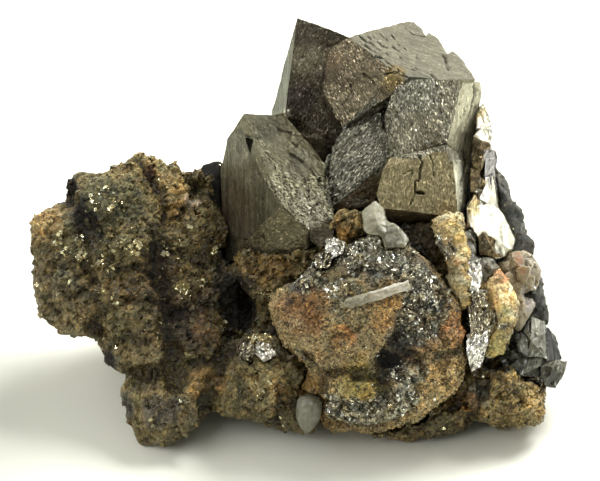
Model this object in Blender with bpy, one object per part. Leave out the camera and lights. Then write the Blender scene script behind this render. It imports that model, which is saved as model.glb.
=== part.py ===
"""Arsenopyrite specimen: blocky grey crystals on a brown siderite matrix with pyrite and quartz.

Everything is drawn in millimetres in a tilted drawing frame, as a collector looks down on the
specimen: first number to the right, second number up, third number towards the viewer.
spot() turns such a point into world metres, with +Z up and the trimmed underside at z = 0.
"""
import math

import bmesh
import bpy
import numpy as np
from mathutils import Matrix, Vector, noise

MM = 0.001
LOOK_DOWN = math.radians(38.0)    # tilt of the drawing frame from upright
FOOT_Y = -20.5                    # front foot of the drawing frame, world millimetres
FOOT_Z = -0.5
GAP = 0.3                         # clearance between neighbouring minerals
WELD = 0.002                      # points closer than this are one point
CENTRING = (-0.08, -0.13, 0.0)       # last move, which brings the origin under the middle
TRIM_HEIGHT = 0.0                 # the underside is trimmed flat here
TRIM_REACH = 120.0                # size of the trimming block

MATRIX_VOXEL = 0.75               # grid of the brown mass before it is thinned
ROCK_VOXEL = 0.8
SLAB_VOXEL = 0.6
CRUST_VOXEL = 0.45
MATRIX_FACES = 2250
ROCK_FACES = 650
SLAB_FACES = 1000
CRUST_FACES = 360

# Arsenopyrite: corners of the blocky crystals, grown together
CRYSTAL_A = [
    (0, 61.7, 0), (4.2, 60.2, -0.5), (7.7, 58.8, 0), (-1.7, 48.1, -3), (-1, 44.9, -5), (6.2, 43.8, -3),
    (-3.8, 47.7, -7), (-2.6, 51.6, -6), (-0.7, 58.8, -2), (2.2, 60.2, -10), (6.9, 57.8, -11), (-2.9, 49.1, -12),
    (0.4, 41.9, -9), (5.5, 39.7, -8), (0.7, 42.6, -14), (6.9, 42.6, -14),
]
CRYSTAL_B = [
    (7.5, 58.8, 2.5), (4.6, 57.2, 0.6), (3.6, 51.8, -0.6), (3.6, 50.3, -0.6), (6.6, 45.9, 1.2), (11, 50, 4.8),
    (13.3, 50.3, 7), (14, 53.7, 8), (16.2, 53, 8.1), (19.8, 52.7, 6.7), (23.2, 52.6, 5.1), (25.7, 52.7, 3.7),
    (23.4, 56.3, -1.8), (20.1, 59.1, -4.5), (17, 61.2, -6.7), (16.2, 61.4, -6.2), (13, 60.4, -3.2), (10.8, 59.9, -1.2),
    (25, 52.1, -10), (18.5, 58.5, -13), (10.8, 58.5, -12), (5.5, 54.1, -10), (6.9, 46.9, -12), (23.5, 49.8, -12),
]
CRYSTAL_C = [
    (14.2, 51.7, 8.3), (16.9, 52.6, 8.4), (19.8, 52.7, 6.7), (23.2, 52.6, 5.1), (26.4, 52.4, 0), (26.7, 51, -0.5),
    (25.3, 45.3, -1.5), (25, 40.6, -2), (21.5, 43.6, 6.1), (13.4, 41.4, 8.6), (12.6, 45.9, 8.9), (12.7, 47.7, 8.8),
    (13.4, 49.8, 8.5), (14.6, 50.5, -12), (24.7, 51.3, -14), (24.4, 41.2, -14), (13.7, 41.2, -12),
]
CRYSTAL_C_FOOT = [
    (13.4, 41.4, 9.4), (17.6, 41.2, 8.5), (21.5, 43.3, 7), (22.4, 40.9, 6.7), (23.1, 33.5, 6.4), (20.8, 33.1, 7.2),
    (15.6, 33.8, 9), (12, 34.1, 9.9), (11.4, 36.2, 10.1), (12.3, 39.7, 9.9), (24.4, 35.1, -1.5), (24, 32.8, -1),
    (24.8, 38, -2), (25, 40.9, -2.5), (12.7, 31.6, 4), (17, 31.8, 2.5), (22.4, 31.9, 0), (12.7, 33.2, -10),
    (23.5, 33.2, -10), (23.5, 40.4, -12), (13.4, 40.4, -10),
]
CRYSTAL_D = [
    (11.1, 50.5, 1.4), (13.3, 50, 2.9), (14.4, 43.6, 5), (13.4, 41.3, 5.2), (10.5, 39.3, 4.6), (7.2, 36, 4),
    (4.5, 33.9, 3.4), (3.9, 34.8, 3), (3.9, 37.7, 2.2), (4, 41, 1.3), (5.9, 44.5, 0.6), (9.5, 34.2, 2.6),
    (11.1, 35.2, 3), (13, 39.7, 4.4), (6.2, 44, -11), (12.7, 48.7, -11), (12.7, 34.7, -8), (5.5, 34.7, -7),
]
CRYSTAL_E = [
    (-7.7, 47.8, 1.9), (-1.7, 47.5, -1), (-1, 45.3, 0), (1.9, 43.3, 0.7), (4, 40.6, 1.9), (4, 35.2, 5),
    (5.3, 32.6, 6.2), (4.6, 31.9, 6.8), (1.7, 30.9, 8.3), (-2.3, 34.5, 7.5), (-8.1, 45.8, 1.4), (-9, 45.3, 0.3),
    (-10.1, 44.2, -1.2), (-11.1, 39.6, -3), (-10.5, 26.7, -3.7), (-5.9, 26, 0), (-1, 27.6, 4), (1.6, 28.4, 6),
    (-6.8, 46.6, -9), (-2.2, 46.6, -12), (-10.3, 38.3, -13), (-9.4, 27.4, -13), (1.9, 29.6, -8), (3.6, 39.7, -9),
]
CRYSTAL_F = [
    (1.7, 31.9, 8), (3, 32.3, 8.6), (5.3, 31.6, 9), (5.1, 29.6, 9.8), (3.3, 28.4, 9.6), (1.9, 29.5, 8.6),
    (2.2, 31.3, 0), (4.8, 31.3, 0), (4.8, 29.3, 2), (2.5, 29.3, 2),
]
# Steps and gashes in those crystals
STEP_HIGH = [(17.5, 61.8, 8), (19.8, 60.4, 8), (18.6, 59.2, 8), (17.5, 61.8, -24), (19.8, 60.4, -24), (18.6, 59.2, -24)]
STEP_MIDDLE = [(20.4, 58.9, 8), (23.8, 57.6, 8), (21.7, 56.5, 8), (20.4, 58.9, -24), (23.8, 57.6, -24), (21.7, 56.5, -24)]
GASH_B = [(7.5, 52, 8), (9.4, 53.9, 8), (10, 53.3, 8), (7.5, 51.7, 0), (9.4, 53.6, 1), (9.8, 53.1, 1)]
GASH_C = [(16.9, 36.7, 14), (18.5, 36.7, 14), (18.5, 36, 14), (16.9, 36, 14), (17, 36.5, 6), (18.3, 36.1, 6)]
NOTCH_E = [(-7.8, 44.5, 6), (-6.2, 44.2, 6), (-6.6, 41.9, 6), (-7.4, 44.3, 0), (-6.5, 44, 0), (-6.8, 42.2, 0)]
CRACK_E = [(-10, 30.2, 4), (-6.6, 30, 6), (-6.8, 29.5, 6), (-10, 29.6, 4), (-9.7, 30, -4), (-7.1, 29.6, -2)]

# Quartz
QUARTZ_POINT = [
    (11.1, 35.2, 11.5), (9.2, 33.6, 10.8), (12.4, 34.2, 11), (12.9, 31.9, 12), (12.4, 30.2, 13.2), (9.7, 30.6, 13),
    (10.8, 33.4, 13.4), (9.4, 32.2, 12.4), (10, 33.4, 6), (12.3, 33.4, 6), (12.3, 30.2, 6), (10, 30.5, 6),
]
QUARTZ_POINT_BASE = [
    (12.4, 32.6, 12), (14.3, 31.8, 12), (16, 29.6, 11.4), (15.5, 28.6, 12.6), (12.6, 28.4, 13), (12, 30.2, 13),
    (12.6, 31.9, 6), (15.5, 30.2, 6), (15.2, 28.4, 6), (12.6, 28.4, 6),
]
ROD_START = (5.9, 20.1, 13.9)
ROD_END = (16.2, 23.2, 14.2)
ROD_RADIUS = 1.05
TOOTH_TOP = (1.9, 7.1, 8.2)
TOOTH_TIP = (1.2, 0.9, 5.6)
TOOTH_RADIUS = 2.1
QUARTZ_LARGE = [
    (28.9, 26.4, 2.5), (30.2, 27.7, 3), (32.2, 28.4, 2), (34.1, 27.3, 1.6), (35.2, 25.6, 0.6), (35.2, 23.7, 0.8),
    (34.7, 22.5, 1.6), (32.2, 21.5, 3.4), (30.6, 22.1, 4.6), (29.7, 24.5, 5), (31.6, 26.4, 5), (33.4, 25.6, 4.4),
    (33.1, 23.2, 4.6), (29.3, 26, -4), (34.4, 26.4, -4), (34.4, 22.4, -4), (30, 22.1, -4),
]
QUARTZ_SMALL = [
    (30.9, 21.4, 4), (32.5, 21.8, 4), (34.2, 21.2, 2.4), (34.4, 19.8, 2.2), (33.4, 18.6, 3), (32.2, 16.2, 3.2),
    (31, 16.5, 3.6), (30.9, 19.2, 4.8), (32.5, 20.4, 5), (31, 21.2, -3), (33.9, 20.9, -3), (33.1, 18.3, -3),
]
QUARTZ_DOME = [
    (25.6, 26.6, 6), (26.6, 27.4, 6.6), (28, 27, 6.4), (29.5, 25.6, 5), (28, 24.4, 6.8), (27, 23.7, 7),
    (26.1, 25, 7.4), (27.6, 25.8, 7.8), (25.8, 26.4, 0), (29, 26.1, 0), (27.6, 23.8, 0),
]
QUARTZ_STRIP = [
    (23.7, 30.8, 7), (25, 31.2, 7), (25.8, 29.6, 6.6), (26.1, 26.4, 6.2), (24.4, 26.4, 7.2), (23.8, 28.7, 7.6),
    (24, 30.5, 0), (25.6, 30.2, 0), (25.8, 26.7, 0), (24.3, 26.7, 0),
]

# Pyrite
PYRITE_BLOCKS = [
    [(25.8, 48.1, 0), (27, 49.4, -1), (28.2, 46.2, -1.4), (27.6, 45.5, 0), (26, 45.8, 1.4),
     (25.6, 48.4, -7), (27.6, 48.1, -7), (27.6, 45.5, -7)],
    [(25.4, 44.5, 2.4), (26.7, 45.9, 0.6), (28.2, 45.5, -0.8), (28.4, 44.3, 0), (27.9, 43.2, 1.8), (26.7, 41.4, 2.4),
     (26.4, 39.4, 1.6), (25.3, 40.4, 2.2), (25.6, 45.5, -6), (28.2, 44.9, -6), (27.3, 40.4, -6)],
    [(27.3, 42, 0.6), (28.7, 42.6, -1.6), (29, 41.4, -1.8), (28.4, 39.4, -1), (27, 38.7, 1.4),
     (27, 42.6, -6), (28.7, 41.7, -6), (27.6, 38.8, -6)],
    [(25, 40, 2.2), (26.4, 39.6, 1.6), (26.1, 36.4, 2.6), (25, 36.5, 3), (24.7, 39.7, -5), (27, 38.8, -5),
     (26.4, 36.1, -5)],
    [(26.3, 35.5, 3.8), (27.3, 37.7, 1.6), (28, 36.4, 1.4), (27.6, 34.7, 3), (26.7, 36.8, -5), (27.9, 35.4, -5)],
    [(24.4, 34.2, 5.4), (25.6, 36, 4), (26.7, 34.9, 4), (26.7, 32.2, 5.2), (25.6, 30.9, 6), (24.5, 31.6, 6),
     (24.7, 34.7, -4), (27, 33.2, -4)],
    [(26.3, 34.2, 4.4), (28.2, 35.4, 2), (30, 32.9, 1.4), (31.5, 29.7, 1), (31, 27.9, 2.6), (29.6, 27.1, 4.4),
     (28.2, 28.2, 5.4), (28.7, 29.6, 4.8), (26.7, 30.8, 6), (25.3, 30.5, 6.4), (25.3, 28.2, 6), (26.1, 26.7, 5.2),
     (28.2, 26.7, 4.8), (26.4, 33.6, -5), (30, 32.2, -5), (30.8, 28.2, -5), (26.1, 27.4, -5)],
]
PYRITE_SPINE = [(25.6, 46.9, -2), (27.3, 47.2, -3.5), (28.4, 39.7, -3.5), (29.6, 31.8, -2), (27.9, 28.4, 1),
                (25.6, 30.3, 2), (25, 38.3, -1), (25.8, 46.9, -8), (27.9, 46.6, -8), (29.6, 29.6, -8),
                (25.6, 29.6, -6)]
STRIP_BLOCKS = [
    [(24.4, 26.4, 8.8), (26.4, 26.9, 8), (26.6, 23.5, 8.2), (25.8, 22.1, 9), (24.5, 22.4, 9.6), (24.7, 26.1, 2),
     (26.4, 26.1, 2), (25.8, 22.4, 2)],
    [(24.8, 22.4, 9.4), (27.3, 22.4, 8), (27.3, 20.1, 8), (25.3, 19.8, 9.6), (25, 22.1, 2), (27, 20.4, 2)],
    [(24.4, 20.2, 9), (28.2, 20.5, 7), (28.6, 17.8, 7), (27.6, 15.5, 7.6), (25, 15.5, 9.4), (24.7, 20.1, 1),
     (27.9, 20.1, 1), (27.6, 15.7, 1), (25, 15.7, 1)],
    [(24.3, 16, 9), (27.3, 16.9, 8), (27.4, 14.6, 8), (26.4, 11.4, 8), (25, 10.7, 8.2), (24.3, 13.4, 9.6),
     (24.5, 15.7, 1), (27, 16, 1), (25.8, 11.7, 1)],
]
CORNER_BLOCKS = [
    [(4.2, 29.6, 11), (5.3, 30, 11.6), (6.9, 29.2, 11.8), (6.5, 27.6, 13), (4.8, 26.7, 12.8), (3.9, 27.9, 12),
     (4.5, 29.3, 6), (6.5, 28.7, 6), (5.1, 27, 6)],
    [(2.3, 27, 11), (3.6, 27.9, 11.4), (5.2, 27.3, 12.6), (4.6, 25.6, 13), (2.7, 25.6, 12), (2.7, 27, 6),
     (4.8, 26.4, 6), (3.3, 25.6, 6)],
]
NEST_BLOCKS = [
    [(-8.2, 14.3, 8.6), (-6.8, 15.2, 8.4), (-5.6, 13.7, 10.6), (-6.8, 12.1, 10.8), (-8.1, 12.6, 10), (-7.7, 14, 4),
     (-5.9, 14, 4), (-7.1, 12.3, 4)],
    [(-5.9, 15, 8.8), (-3.9, 14.6, 9), (-3, 13.1, 10.2), (-4.8, 12, 11), (-6.1, 13.3, 10.8), (-5.9, 14.6, 4),
     (-3.6, 14, 4), (-4.8, 12.3, 4)],
]
DARK_BLOCKS = [
    [(31.3, 12.9, 3.4), (31.6, 15.5, 2.6), (32.5, 16.3, 2.4), (33.4, 15.2, 3), (33.2, 12.7, 3.8), (31.9, 13.7, 5),
     (31.6, 13.1, -4), (33.1, 15.2, -4), (33.1, 12.9, -4)],
    [(32.5, 16.6, 2), (33.9, 18.5, 0.6), (35.8, 17.8, -0.6), (36.2, 16.2, 0), (35.8, 12.7, 1.4), (33.2, 12.7, 3),
     (33.6, 15.2, 3.4), (32.8, 16.6, -6), (35.8, 17.5, -6), (35.8, 12.9, -5)],
    [(35.2, 16.5, 0.4), (36.4, 16.9, -1.2), (37.4, 15.6, -2.2), (38.3, 12.3, -1.6), (36.2, 12.1, 1.4), (35.2, 12.9, 1.8),
     (35.7, 16.6, -7), (37.4, 15.2, -7), (37.7, 12.6, -6)],
    [(35.2, 11.4, 2), (37.4, 12.3, 0), (39.1, 12, -1), (38.6, 10.1, -0.2), (37.3, 8.2, 0.6), (36, 8.4, 1.4),
     (35.2, 9.8, 2.2), (36.8, 11.1, 2.4), (35.5, 11.7, -5), (38.6, 11.7, -5), (37.4, 8.8, -4)],
    [(29.3, 12.6, 4.4), (31.3, 13.4, 3.6), (35.8, 13.4, 1), (36.2, 9.7, 1), (32.2, 10, 4), (29.9, 10.8, 4.6),
     (30.2, 12.9, -4), (36, 12.6, -6), (35.1, 10, -4)],
]

# Ochre crust: balls as centre and radius
OCHRE_BALLS = [
    ((21.2, 31.6, 7.4), 1.9), ((22.4, 32.2, 6.4), 1.6), ((22.1, 29.9, 8), 2.1), ((23, 27.9, 8), 1.9),
    ((23.2, 25.8, 8.6), 1.8), ((23.4, 23.7, 9), 1.7), ((23.8, 21.2, 8.4), 1.5), ((23.1, 29.2, 4), 2.6),
    ((24.4, 23.8, 4), 2.4), ((26.4, 20.9, 3.4), 2.4), ((28, 24, 5.8), 1.7), ((29, 22.7, 5.8), 1.8),
    ((29.9, 20.8, 6), 1.9), ((30, 18.6, 6), 1.8), ((29.6, 16.6, 5.4), 1.7), ((28.4, 14.6, 6), 1.7),
    ((27.6, 13.7, 5.6), 1.2), ((27.6, 18.1, 3), 2.2),
]

# Front slab: angular body, crusted rim and lumps
SLAB_PLATE = [
    (-4.8, 19.3, 7.6), (-4.2, 21.7, 7), (1.3, 25.1, 9.4), (3.6, 23.8, 12.4), (9.1, 24.4, 13.4), (16.2, 24, 13.4),
    (15.5, 19.8, 13.4), (13.7, 16.6, 13), (13.1, 13.7, 12.4), (7.9, 10.1, 11.4), (3.8, 9.4, 10.8), (0.9, 12, 10),
    (-2, 15.2, 8.6), (-3.2, 16.6, 7), (-1.7, 20.9, -3), (16.3, 23.8, -2), (13.4, 13.7, -4), (1.9, 10.8, -3),
]
SLAB_RIM = [
    (1.3, 25.3, 9.2), (4.5, 27, 11), (7.7, 29.2, 11.4), (11.7, 30.2, 11.4), (15.5, 29.6, 11), (19.2, 26.4, 10.2),
    (20.6, 24.4, 10.4), (22.8, 21.5, 10), (24.4, 15.5, 8.8), (20.6, 14.4, 10.4), (17.8, 16.6, 12), (16.3, 22.4, 12.8),
    (15.6, 25, 12.8), (6.9, 25, 12.9), (3.3, 26.7, 0), (19.2, 25.3, 0), (22.8, 16.6, 0), (7.7, 28.9, 0),
]
SLAB_FOOT = [
    (0.1, 9.7, 7), (4, 9.7, 10.4), (12.7, 11.4, 11), (20.6, 15.2, 10.2), (24.5, 13.7, 8.2), (24.1, 9.2, 7.2),
    (20.6, 5.5, 5.8), (18.3, 3.6, 4), (11.7, 1.6, 3.4), (6.2, 1.6, 3.6), (3.6, 2.5, 4.4), (7.7, 5.8, 9.6),
    (16.3, 6.2, 9.4), (3.3, 8.7, -4), (22.8, 13.7, -3), (17.8, 5.1, -3), (6.9, 2.9, -3),
]
SLAB_BALLS = [
    ((5.5, 8.2, 8.6), 1.9), ((7.9, 7.9, 9.2), 2.2), ((10.8, 8.8, 9.6), 2.1), ((6.9, 6.2, 8), 1.7),
    ((15.6, 10, 9.6), 1.9), ((17.5, 10.7, 9.2), 1.7), ((14.2, 7.7, 9.2), 1.6), ((4.8, 4.8, 6.8), 1.6),
    ((7.7, 4.5, 7.2), 1.6), ((10.5, 4.8, 7.6), 1.6), ((13.4, 5.5, 8), 1.6), ((15.6, 6.5, 8), 1.6),
    ((18.3, 14.4, 10.4), 1.9), ((20.4, 18.3, 10.6), 1.8), ((18.5, 22.1, 11.2), 1.7), ((1.9, 6.5, 6.6), 1.9),
    ((21.9, 10.5, 7.6), 1.9), ((20.2, 8.2, 7), 1.9), ((18.3, 6.2, 6.4), 1.7), ((21.8, 19.2, 9.6), 1.5),
]
SLAB_HOLLOWS = [((14, 11.3, 14), 2), ((0.7, 7.7, 12.6), 1.8)]

# Host rock: dark wall rock behind and below
ROCK_BLOCKS = [
    [(26.4, 44, -4), (28.3, 41.9, -5), (29.7, 37.1, -4.4), (32.9, 31.2, -4), (35.2, 25, -3.6), (36, 22.7, -3.6),
     (35.1, 20.9, -3), (35.4, 17.9, -3.6), (36.1, 16.9, -4), (29.3, 16.6, -3), (26.1, 29.6, -2), (27, 41.2, -14),
     (30, 35.4, -16), (35.1, 22.4, -16), (34.4, 15.2, -15), (26.4, 26.7, -18)],
    [(-14.2, 34.7, -4), (-13.7, 40.6, -6.6), (-12.4, 40, -6.4), (-11.1, 41.6, -8), (-8.2, 36.8, -8), (-9, 28.2, -8),
     (-14, 29.6, -6), (-13.3, 38.3, -16), (-9, 36.8, -18), (-9, 28.2, -20), (-13.3, 29.6, -17)],
    [(-11.8, 33.2, -9), (4.8, 42.6, -12), (25, 42.6, -11), (32.2, 30.3, -9), (34.4, 16.6, -9), (20.6, 16.6, -8),
     (0.4, 20.9, -9), (-10.4, 22.4, -9), (0.4, 39.7, -24), (22.1, 40.4, -25), (30, 28.2, -24), (29.3, 18.1, -26),
     (0.4, 19.5, -28), (-9, 25.3, -23)],
]
ROCK_BALLS = [
    ((31.3, 33.2, -6), 1.8), ((33.2, 28.2, -5.6), 1.9), ((29.6, 36.8, -7.4), 1.5), ((34.2, 23.2, -5.6), 1.6),
    ((33.9, 19.2, -5.4), 1.6), ((-5.3, 31, -18), 5), ((12, 33.9, -20), 7), ((23.5, 29.6, -19), 6),
]

# Siderite matrix: angular bodies and balls, melted together
MATRIX_BLOCKS = [
    [(-38.8, 33.2, -2.4), (-36.2, 34.7, -3), (-33.4, 35.2, -3.4), (-31, 31.3, 2), (-28.2, 28.2, 3.4), (-28.2, 15.7, 0),
     (-30.8, 16.2, 0.6), (-34.5, 15.6, 0.4), (-36.8, 18.5, 0.6), (-38.1, 24.4, 0.6), (-38.4, 29.6, 0.4), (-35.7, 30.2, 3),
     (-32.5, 28.2, 4), (-34.5, 20.9, 3.4), (-30.2, 19.2, 4), (-36.2, 30.2, -12), (-30.2, 31.8, -14), (-34.5, 20.9, -9),
     (-29.2, 18.8, -12)],
    [(-25.6, 7.4, 2.6), (-24.4, 9.2, 2), (-22.4, 10, 3), (-17.5, 10.3, 3.6), (-13.6, 8.5, 3), (-13, 4.5, 2.2),
     (-14.2, 2.5, 2.4), (-15.9, 1.2, 2), (-18.9, 0.6, 2), (-20.6, -0.1, 1.8), (-22.8, 0, 1.8), (-24.5, 2.9, 1.8),
     (-22.7, 7.4, 6), (-21.5, 2.2, 5), (-16.6, 2.2, 5.4), (-16.3, 7.4, 6.4), (-21.9, 7.2, -7), (-15.5, 7.2, -8)],
    [(-12, 8.7, 3), (-10.3, 14.3, 4), (-6.8, 15.7, 5.4), (-1, 14.9, 6.4), (1.6, 10, 6.4), (3, 1.9, 3),
     (-0.3, 2, 2.6), (-5.1, 2.9, 2.4), (-10, 4.6, 2), (-7.5, 12.6, 8.8), (-2.5, 12, 9.4), (-3.6, 5.8, 8.2),
     (-8.2, 6.5, 7.4), (-10.4, 10.8, -10), (0.4, 12.3, -12), (0.4, 3.6, -2), (-9.7, 5.1, -3)],
    [(24.4, 9.4, 6), (27.3, 8.8, 6.4), (31.3, 9.7, 5.4), (36, 8.2, 1), (35.2, 5.3, -0.6), (32.1, 3, -0.6),
     (29.2, 2.3, -0.2), (27, 3.2, 1.4), (25.6, 4.5, 3.4), (30.8, 6.5, 5.6), (33.6, 6.8, 3.8), (28.6, 12, 4),
     (25, 10.5, -8), (35.1, 10.8, -9), (34.4, 6.5, -8), (27.9, 3.6, -6)],
    [(-3.9, 26.4, -2), (4.8, 28.2, 4), (20.6, 29.6, 5), (25, 20.9, 3), (25, 6.5, 3), (14.9, 2.9, 2), (3.3, 2.9, 2),
     (-5.1, 9.4, -2), (-5.1, 20.9, -4), (-3.9, 26.7, -16), (23.5, 28.2, -16), (25, 10.8, -14), (0.4, 7.9, -9),
     (14.9, 6.5, -9)],
    [(11.1, 5.1, 5), (16.3, 5.3, 5.4), (25.3, 5.8, 4.4), (25.6, 3.9, 1.8), (25, 3, 1.2), (21.8, 1.4, 1),
     (16.6, 0.9, 0.8), (13.9, 0.6, 1), (11.4, 1.7, 2), (20.6, 3, 3.6), (14.9, 2.9, 3.8), (13.4, 3.6, -5),
     (23.5, 5.1, -6)],
]
MATRIX_BALLS = [
    ((-27.7, 33.5, -2), 5.6), ((-23, 36.8, -4), 4.9), ((-18.3, 37.1, -4), 3.7), ((-24.1, 28.2, -2), 7.4),
    ((-16.3, 31.8, -4), 5), ((-13.3, 30.3, -5), 4), ((-16.2, 26.4, -6), 6), ((-19.8, 20.9, -4), 7.6),
    ((-13.7, 23.1, -5), 5.4), ((-24.4, 14.6, 1), 3.9), ((-20.1, 15.2, 1), 5.4), ((-15.2, 14.4, 0), 5.6),
    ((-24.1, 20.2, 0.4), 5.2), ((-27, 23.8, -1), 5.4), ((-12.3, 8.7, 0.6), 3.9), ((-8.2, 16.6, -10), 5),
    ((-4.2, 25, -1), 4.6), ((-1.3, 26.4, 1.4), 3.4), ((0.7, 27.3, 4), 2.4), ((7.2, 32.2, 8.6), 2.2),
    ((7.5, 31, 5), 3), ((7.9, 28.7, 3), 4), ((14.2, 29, 2), 4.4), ((19.5, 29.6, 2), 4),
    ((-5.1, 16.6, -6), 5), ((-7.7, 20.2, -13), 6), ((-9.2, 24.5, -13), 5), ((2.2, 27, 2), 3.4), ((-21.2, 12.3, 3), 3.2),
    ((-17.6, 29.6, -3), 4.4), ((-19.8, 34.7, -2.4), 3.6), ((-15.7, 39.4, -4.6), 2), ((-30.5, 36.8, -4), 2.6),
    ((26.4, 6.5, 4), 2.6), ((32.8, 5.3, 2.4), 2.6), ((30, 10.5, 4), 1.7),
    ((-8.2, 28.9, -12), 6), ((0.4, 20.9, -14), 9), ((14.9, 16.6, -13), 10), ((23.5, 16.6, -12), 8),
    ((-16.9, 16.6, -7), 7), ((-24.1, 22.4, -8), 8), ((-29.9, 25.3, -7), 6),
]
CAVITY = [(-9.5, 25, 16), (-5.1, 20.9, 16), (-5.6, 15.5, 16), (-9.1, 14.9, 16), (-10.3, 20.2, 16),
          (-8.8, 23.5, -5), (-6.2, 20.9, -5), (-6.8, 16.6, -5), (-8.5, 16.3, -5)]

MATERIALS = {
    "arsenopyrite": ((0.22, 0.20, 0.17), 0.34, 0.9),
    "pyrite": ((0.55, 0.50, 0.38), 0.22, 1.0),
    "quartz": ((0.62, 0.60, 0.56), 0.3, 0.0),
    "ochre": ((0.36, 0.25, 0.11), 0.75, 0.0),
    "slab": ((0.27, 0.16, 0.08), 0.7, 0.0),
    "dark_crystal": ((0.08, 0.075, 0.07), 0.3, 0.6),
    "host_rock": ((0.035, 0.035, 0.035), 0.6, 0.0),
    "siderite": ((0.14, 0.105, 0.055), 0.6, 0.0),
}


def clear_scene():
    """Start from an empty scene."""
    for old in list(bpy.data.objects):
        bpy.data.objects.remove(old, do_unlink=True)


def spot(point):
    """World position in metres of a point of the drawing frame in millimetres."""
    right, up, near = point
    tilt_sin = math.sin(LOOK_DOWN)
    tilt_cos = math.cos(LOOK_DOWN)
    return Vector((
        right,
        FOOT_Y + up * tilt_sin - near * tilt_cos,
        FOOT_Z + up * tilt_cos + near * tilt_sin,
    )) * MM


def new_object(name, bm):
    """Put a bmesh into the scene as an object."""
    mesh = bpy.data.meshes.new(name)
    bm.to_mesh(mesh)
    bm.free()
    solid = bpy.data.objects.new(name, mesh)
    bpy.context.scene.collection.objects.link(solid)
    return solid


def block(points, name="block"):
    """Flat-faced solid: the convex hull of its corners."""
    bm = bmesh.new()
    for point in points:
        bm.verts.new(spot(point))
    hull = bmesh.ops.convex_hull(bm, input=bm.verts)
    inner = [v for v in hull["geom_interior"] + hull["geom_unused"] if isinstance(v, bmesh.types.BMVert)]
    bmesh.ops.delete(bm, geom=list(set(inner)), context="VERTS")
    bmesh.ops.recalc_face_normals(bm, faces=bm.faces)
    return new_object(name, bm)


def ball(centre, radius, name="ball"):
    """Round lump of the brown masses."""
    bm = bmesh.new()
    bmesh.ops.create_icosphere(bm, subdivisions=3, radius=radius * MM,
                               matrix=Matrix.Translation(spot(centre)))
    return new_object(name, bm)


def prism(start, end, radius, tips, name):
    """Six-sided crystal between two points, with a pointed end where tips says so."""
    a = spot(start)
    b = spot(end)
    axis = (b - a).normalized()
    side = axis.orthogonal().normalized()
    across = axis.cross(side)
    bm = bmesh.new()
    for base, inward, pointed in ((a, 1, tips[0]), (b, -1, tips[1])):
        shoulder = base + axis * inward * radius * MM * (1.5 if pointed else 0.0)
        for corner in range(6):
            angle = math.radians(60 * corner)
            bm.verts.new(shoulder + (side * math.cos(angle) + across * math.sin(angle)) * radius * MM)
        if pointed:
            bm.verts.new(base)
    bmesh.ops.convex_hull(bm, input=bm.verts)
    bmesh.ops.recalc_face_normals(bm, faces=bm.faces)
    return new_object(name, bm)


def settle(solid):
    """Replace the object's mesh by what its modifiers make of it."""
    bpy.context.view_layer.update()
    graph = bpy.context.evaluated_depsgraph_get()
    mesh = bpy.data.meshes.new_from_object(solid.evaluated_get(graph))
    solid.modifiers.clear()
    solid.data = mesh


def boolean(solid, other, operation, folded=False):
    """Join or cut one solid by another, which stays in the scene; folded where it may cross itself."""
    step = solid.modifiers.new("bool", "BOOLEAN")
    step.operation = operation
    step.solver = "EXACT"
    step.use_self = folded
    step.object = other
    settle(solid)


def discard(*solids):
    """Remove helper objects."""
    for solid in solids:
        bpy.data.objects.remove(solid, do_unlink=True)


def unite(name, solids):
    """Grow several crystals together into one solid."""
    whole = solids[0]
    whole.name = name
    for other in solids[1:]:
        boolean(whole, other, "UNION")
        discard(other)
    return whole


def carve(solid, points):
    """Cut a flat-sided notch out of a solid."""
    cutter = block(points, "cutter")
    boolean(solid, cutter, "DIFFERENCE")
    discard(cutter)


def drop_loose(bm):
    """Remove points that carry no face."""
    loose = [vert for vert in bm.verts if not vert.link_faces]
    bmesh.ops.delete(bm, geom=loose, context="VERTS")


def swollen(solid, distance):
    """Copy of a solid with every face moved outwards, used to keep a clear gap."""
    bm = bmesh.new()
    bm.from_mesh(solid.data)
    bmesh.ops.dissolve_limit(bm, angle_limit=math.radians(1.0), verts=bm.verts, edges=bm.edges)
    drop_loose(bm)
    bmesh.ops.triangulate(bm, faces=bm.faces)
    bm.normal_update()
    moves = []
    for vert in bm.verts:
        normals = np.array([face.normal[:] for face in vert.link_faces])
        push = np.linalg.lstsq(normals, np.full(len(normals), distance * MM), rcond=0.15)[0]
        length = np.linalg.norm(push)
        if length > 2.5 * distance * MM:
            push *= 2.5 * distance * MM / length
        moves.append(Vector(push))
    for vert, push in zip(bm.verts, moves):
        vert.co += push
    return new_object(solid.name + "_clear", bm)


def merged(name, solids):
    """One mesh that holds several solids, ready to be melted together."""
    bm = bmesh.new()
    for solid in solids:
        bm.from_mesh(solid.data)
        discard(solid)
    return new_object(name, bm)


def melt(solid, voxel):
    """Melt overlapping lumps into one skin."""
    step = solid.modifiers.new("melt", "REMESH")
    step.mode = "VOXEL"
    step.voxel_size = voxel * MM
    settle(solid)


def thin(solid, faces):
    """Thin a dense skin down to a number of triangles."""
    mesh = solid.data
    mesh.calc_loop_triangles()
    step = solid.modifiers.new("thin", "DECIMATE")
    step.ratio = min(1.0, faces / len(mesh.loop_triangles))
    step.use_collapse_triangulate = True
    settle(solid)


def roughen(solid, sizes, amounts, shift, grow):
    """Push a skin in and out: lumps from rounded noise and edges from cell noise."""
    bm = bmesh.new()
    bm.from_mesh(solid.data)
    bm.normal_update()
    for vert in bm.verts:
        vert.co += vert.normal * grow * MM
    for size, amount in zip(sizes, amounts):
        for vert in bm.verts:
            place = vert.co / (size * MM) + Vector(shift)
            near, far = noise.voronoi(place)[0][:2]
            bump = 0.6 * noise.noise(place) + 0.7 * (min(far - near, 0.6) - 0.25)
            vert.co += vert.normal * bump * amount * MM
        bm.normal_update()
    bm.to_mesh(solid.data)
    bm.free()


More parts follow.
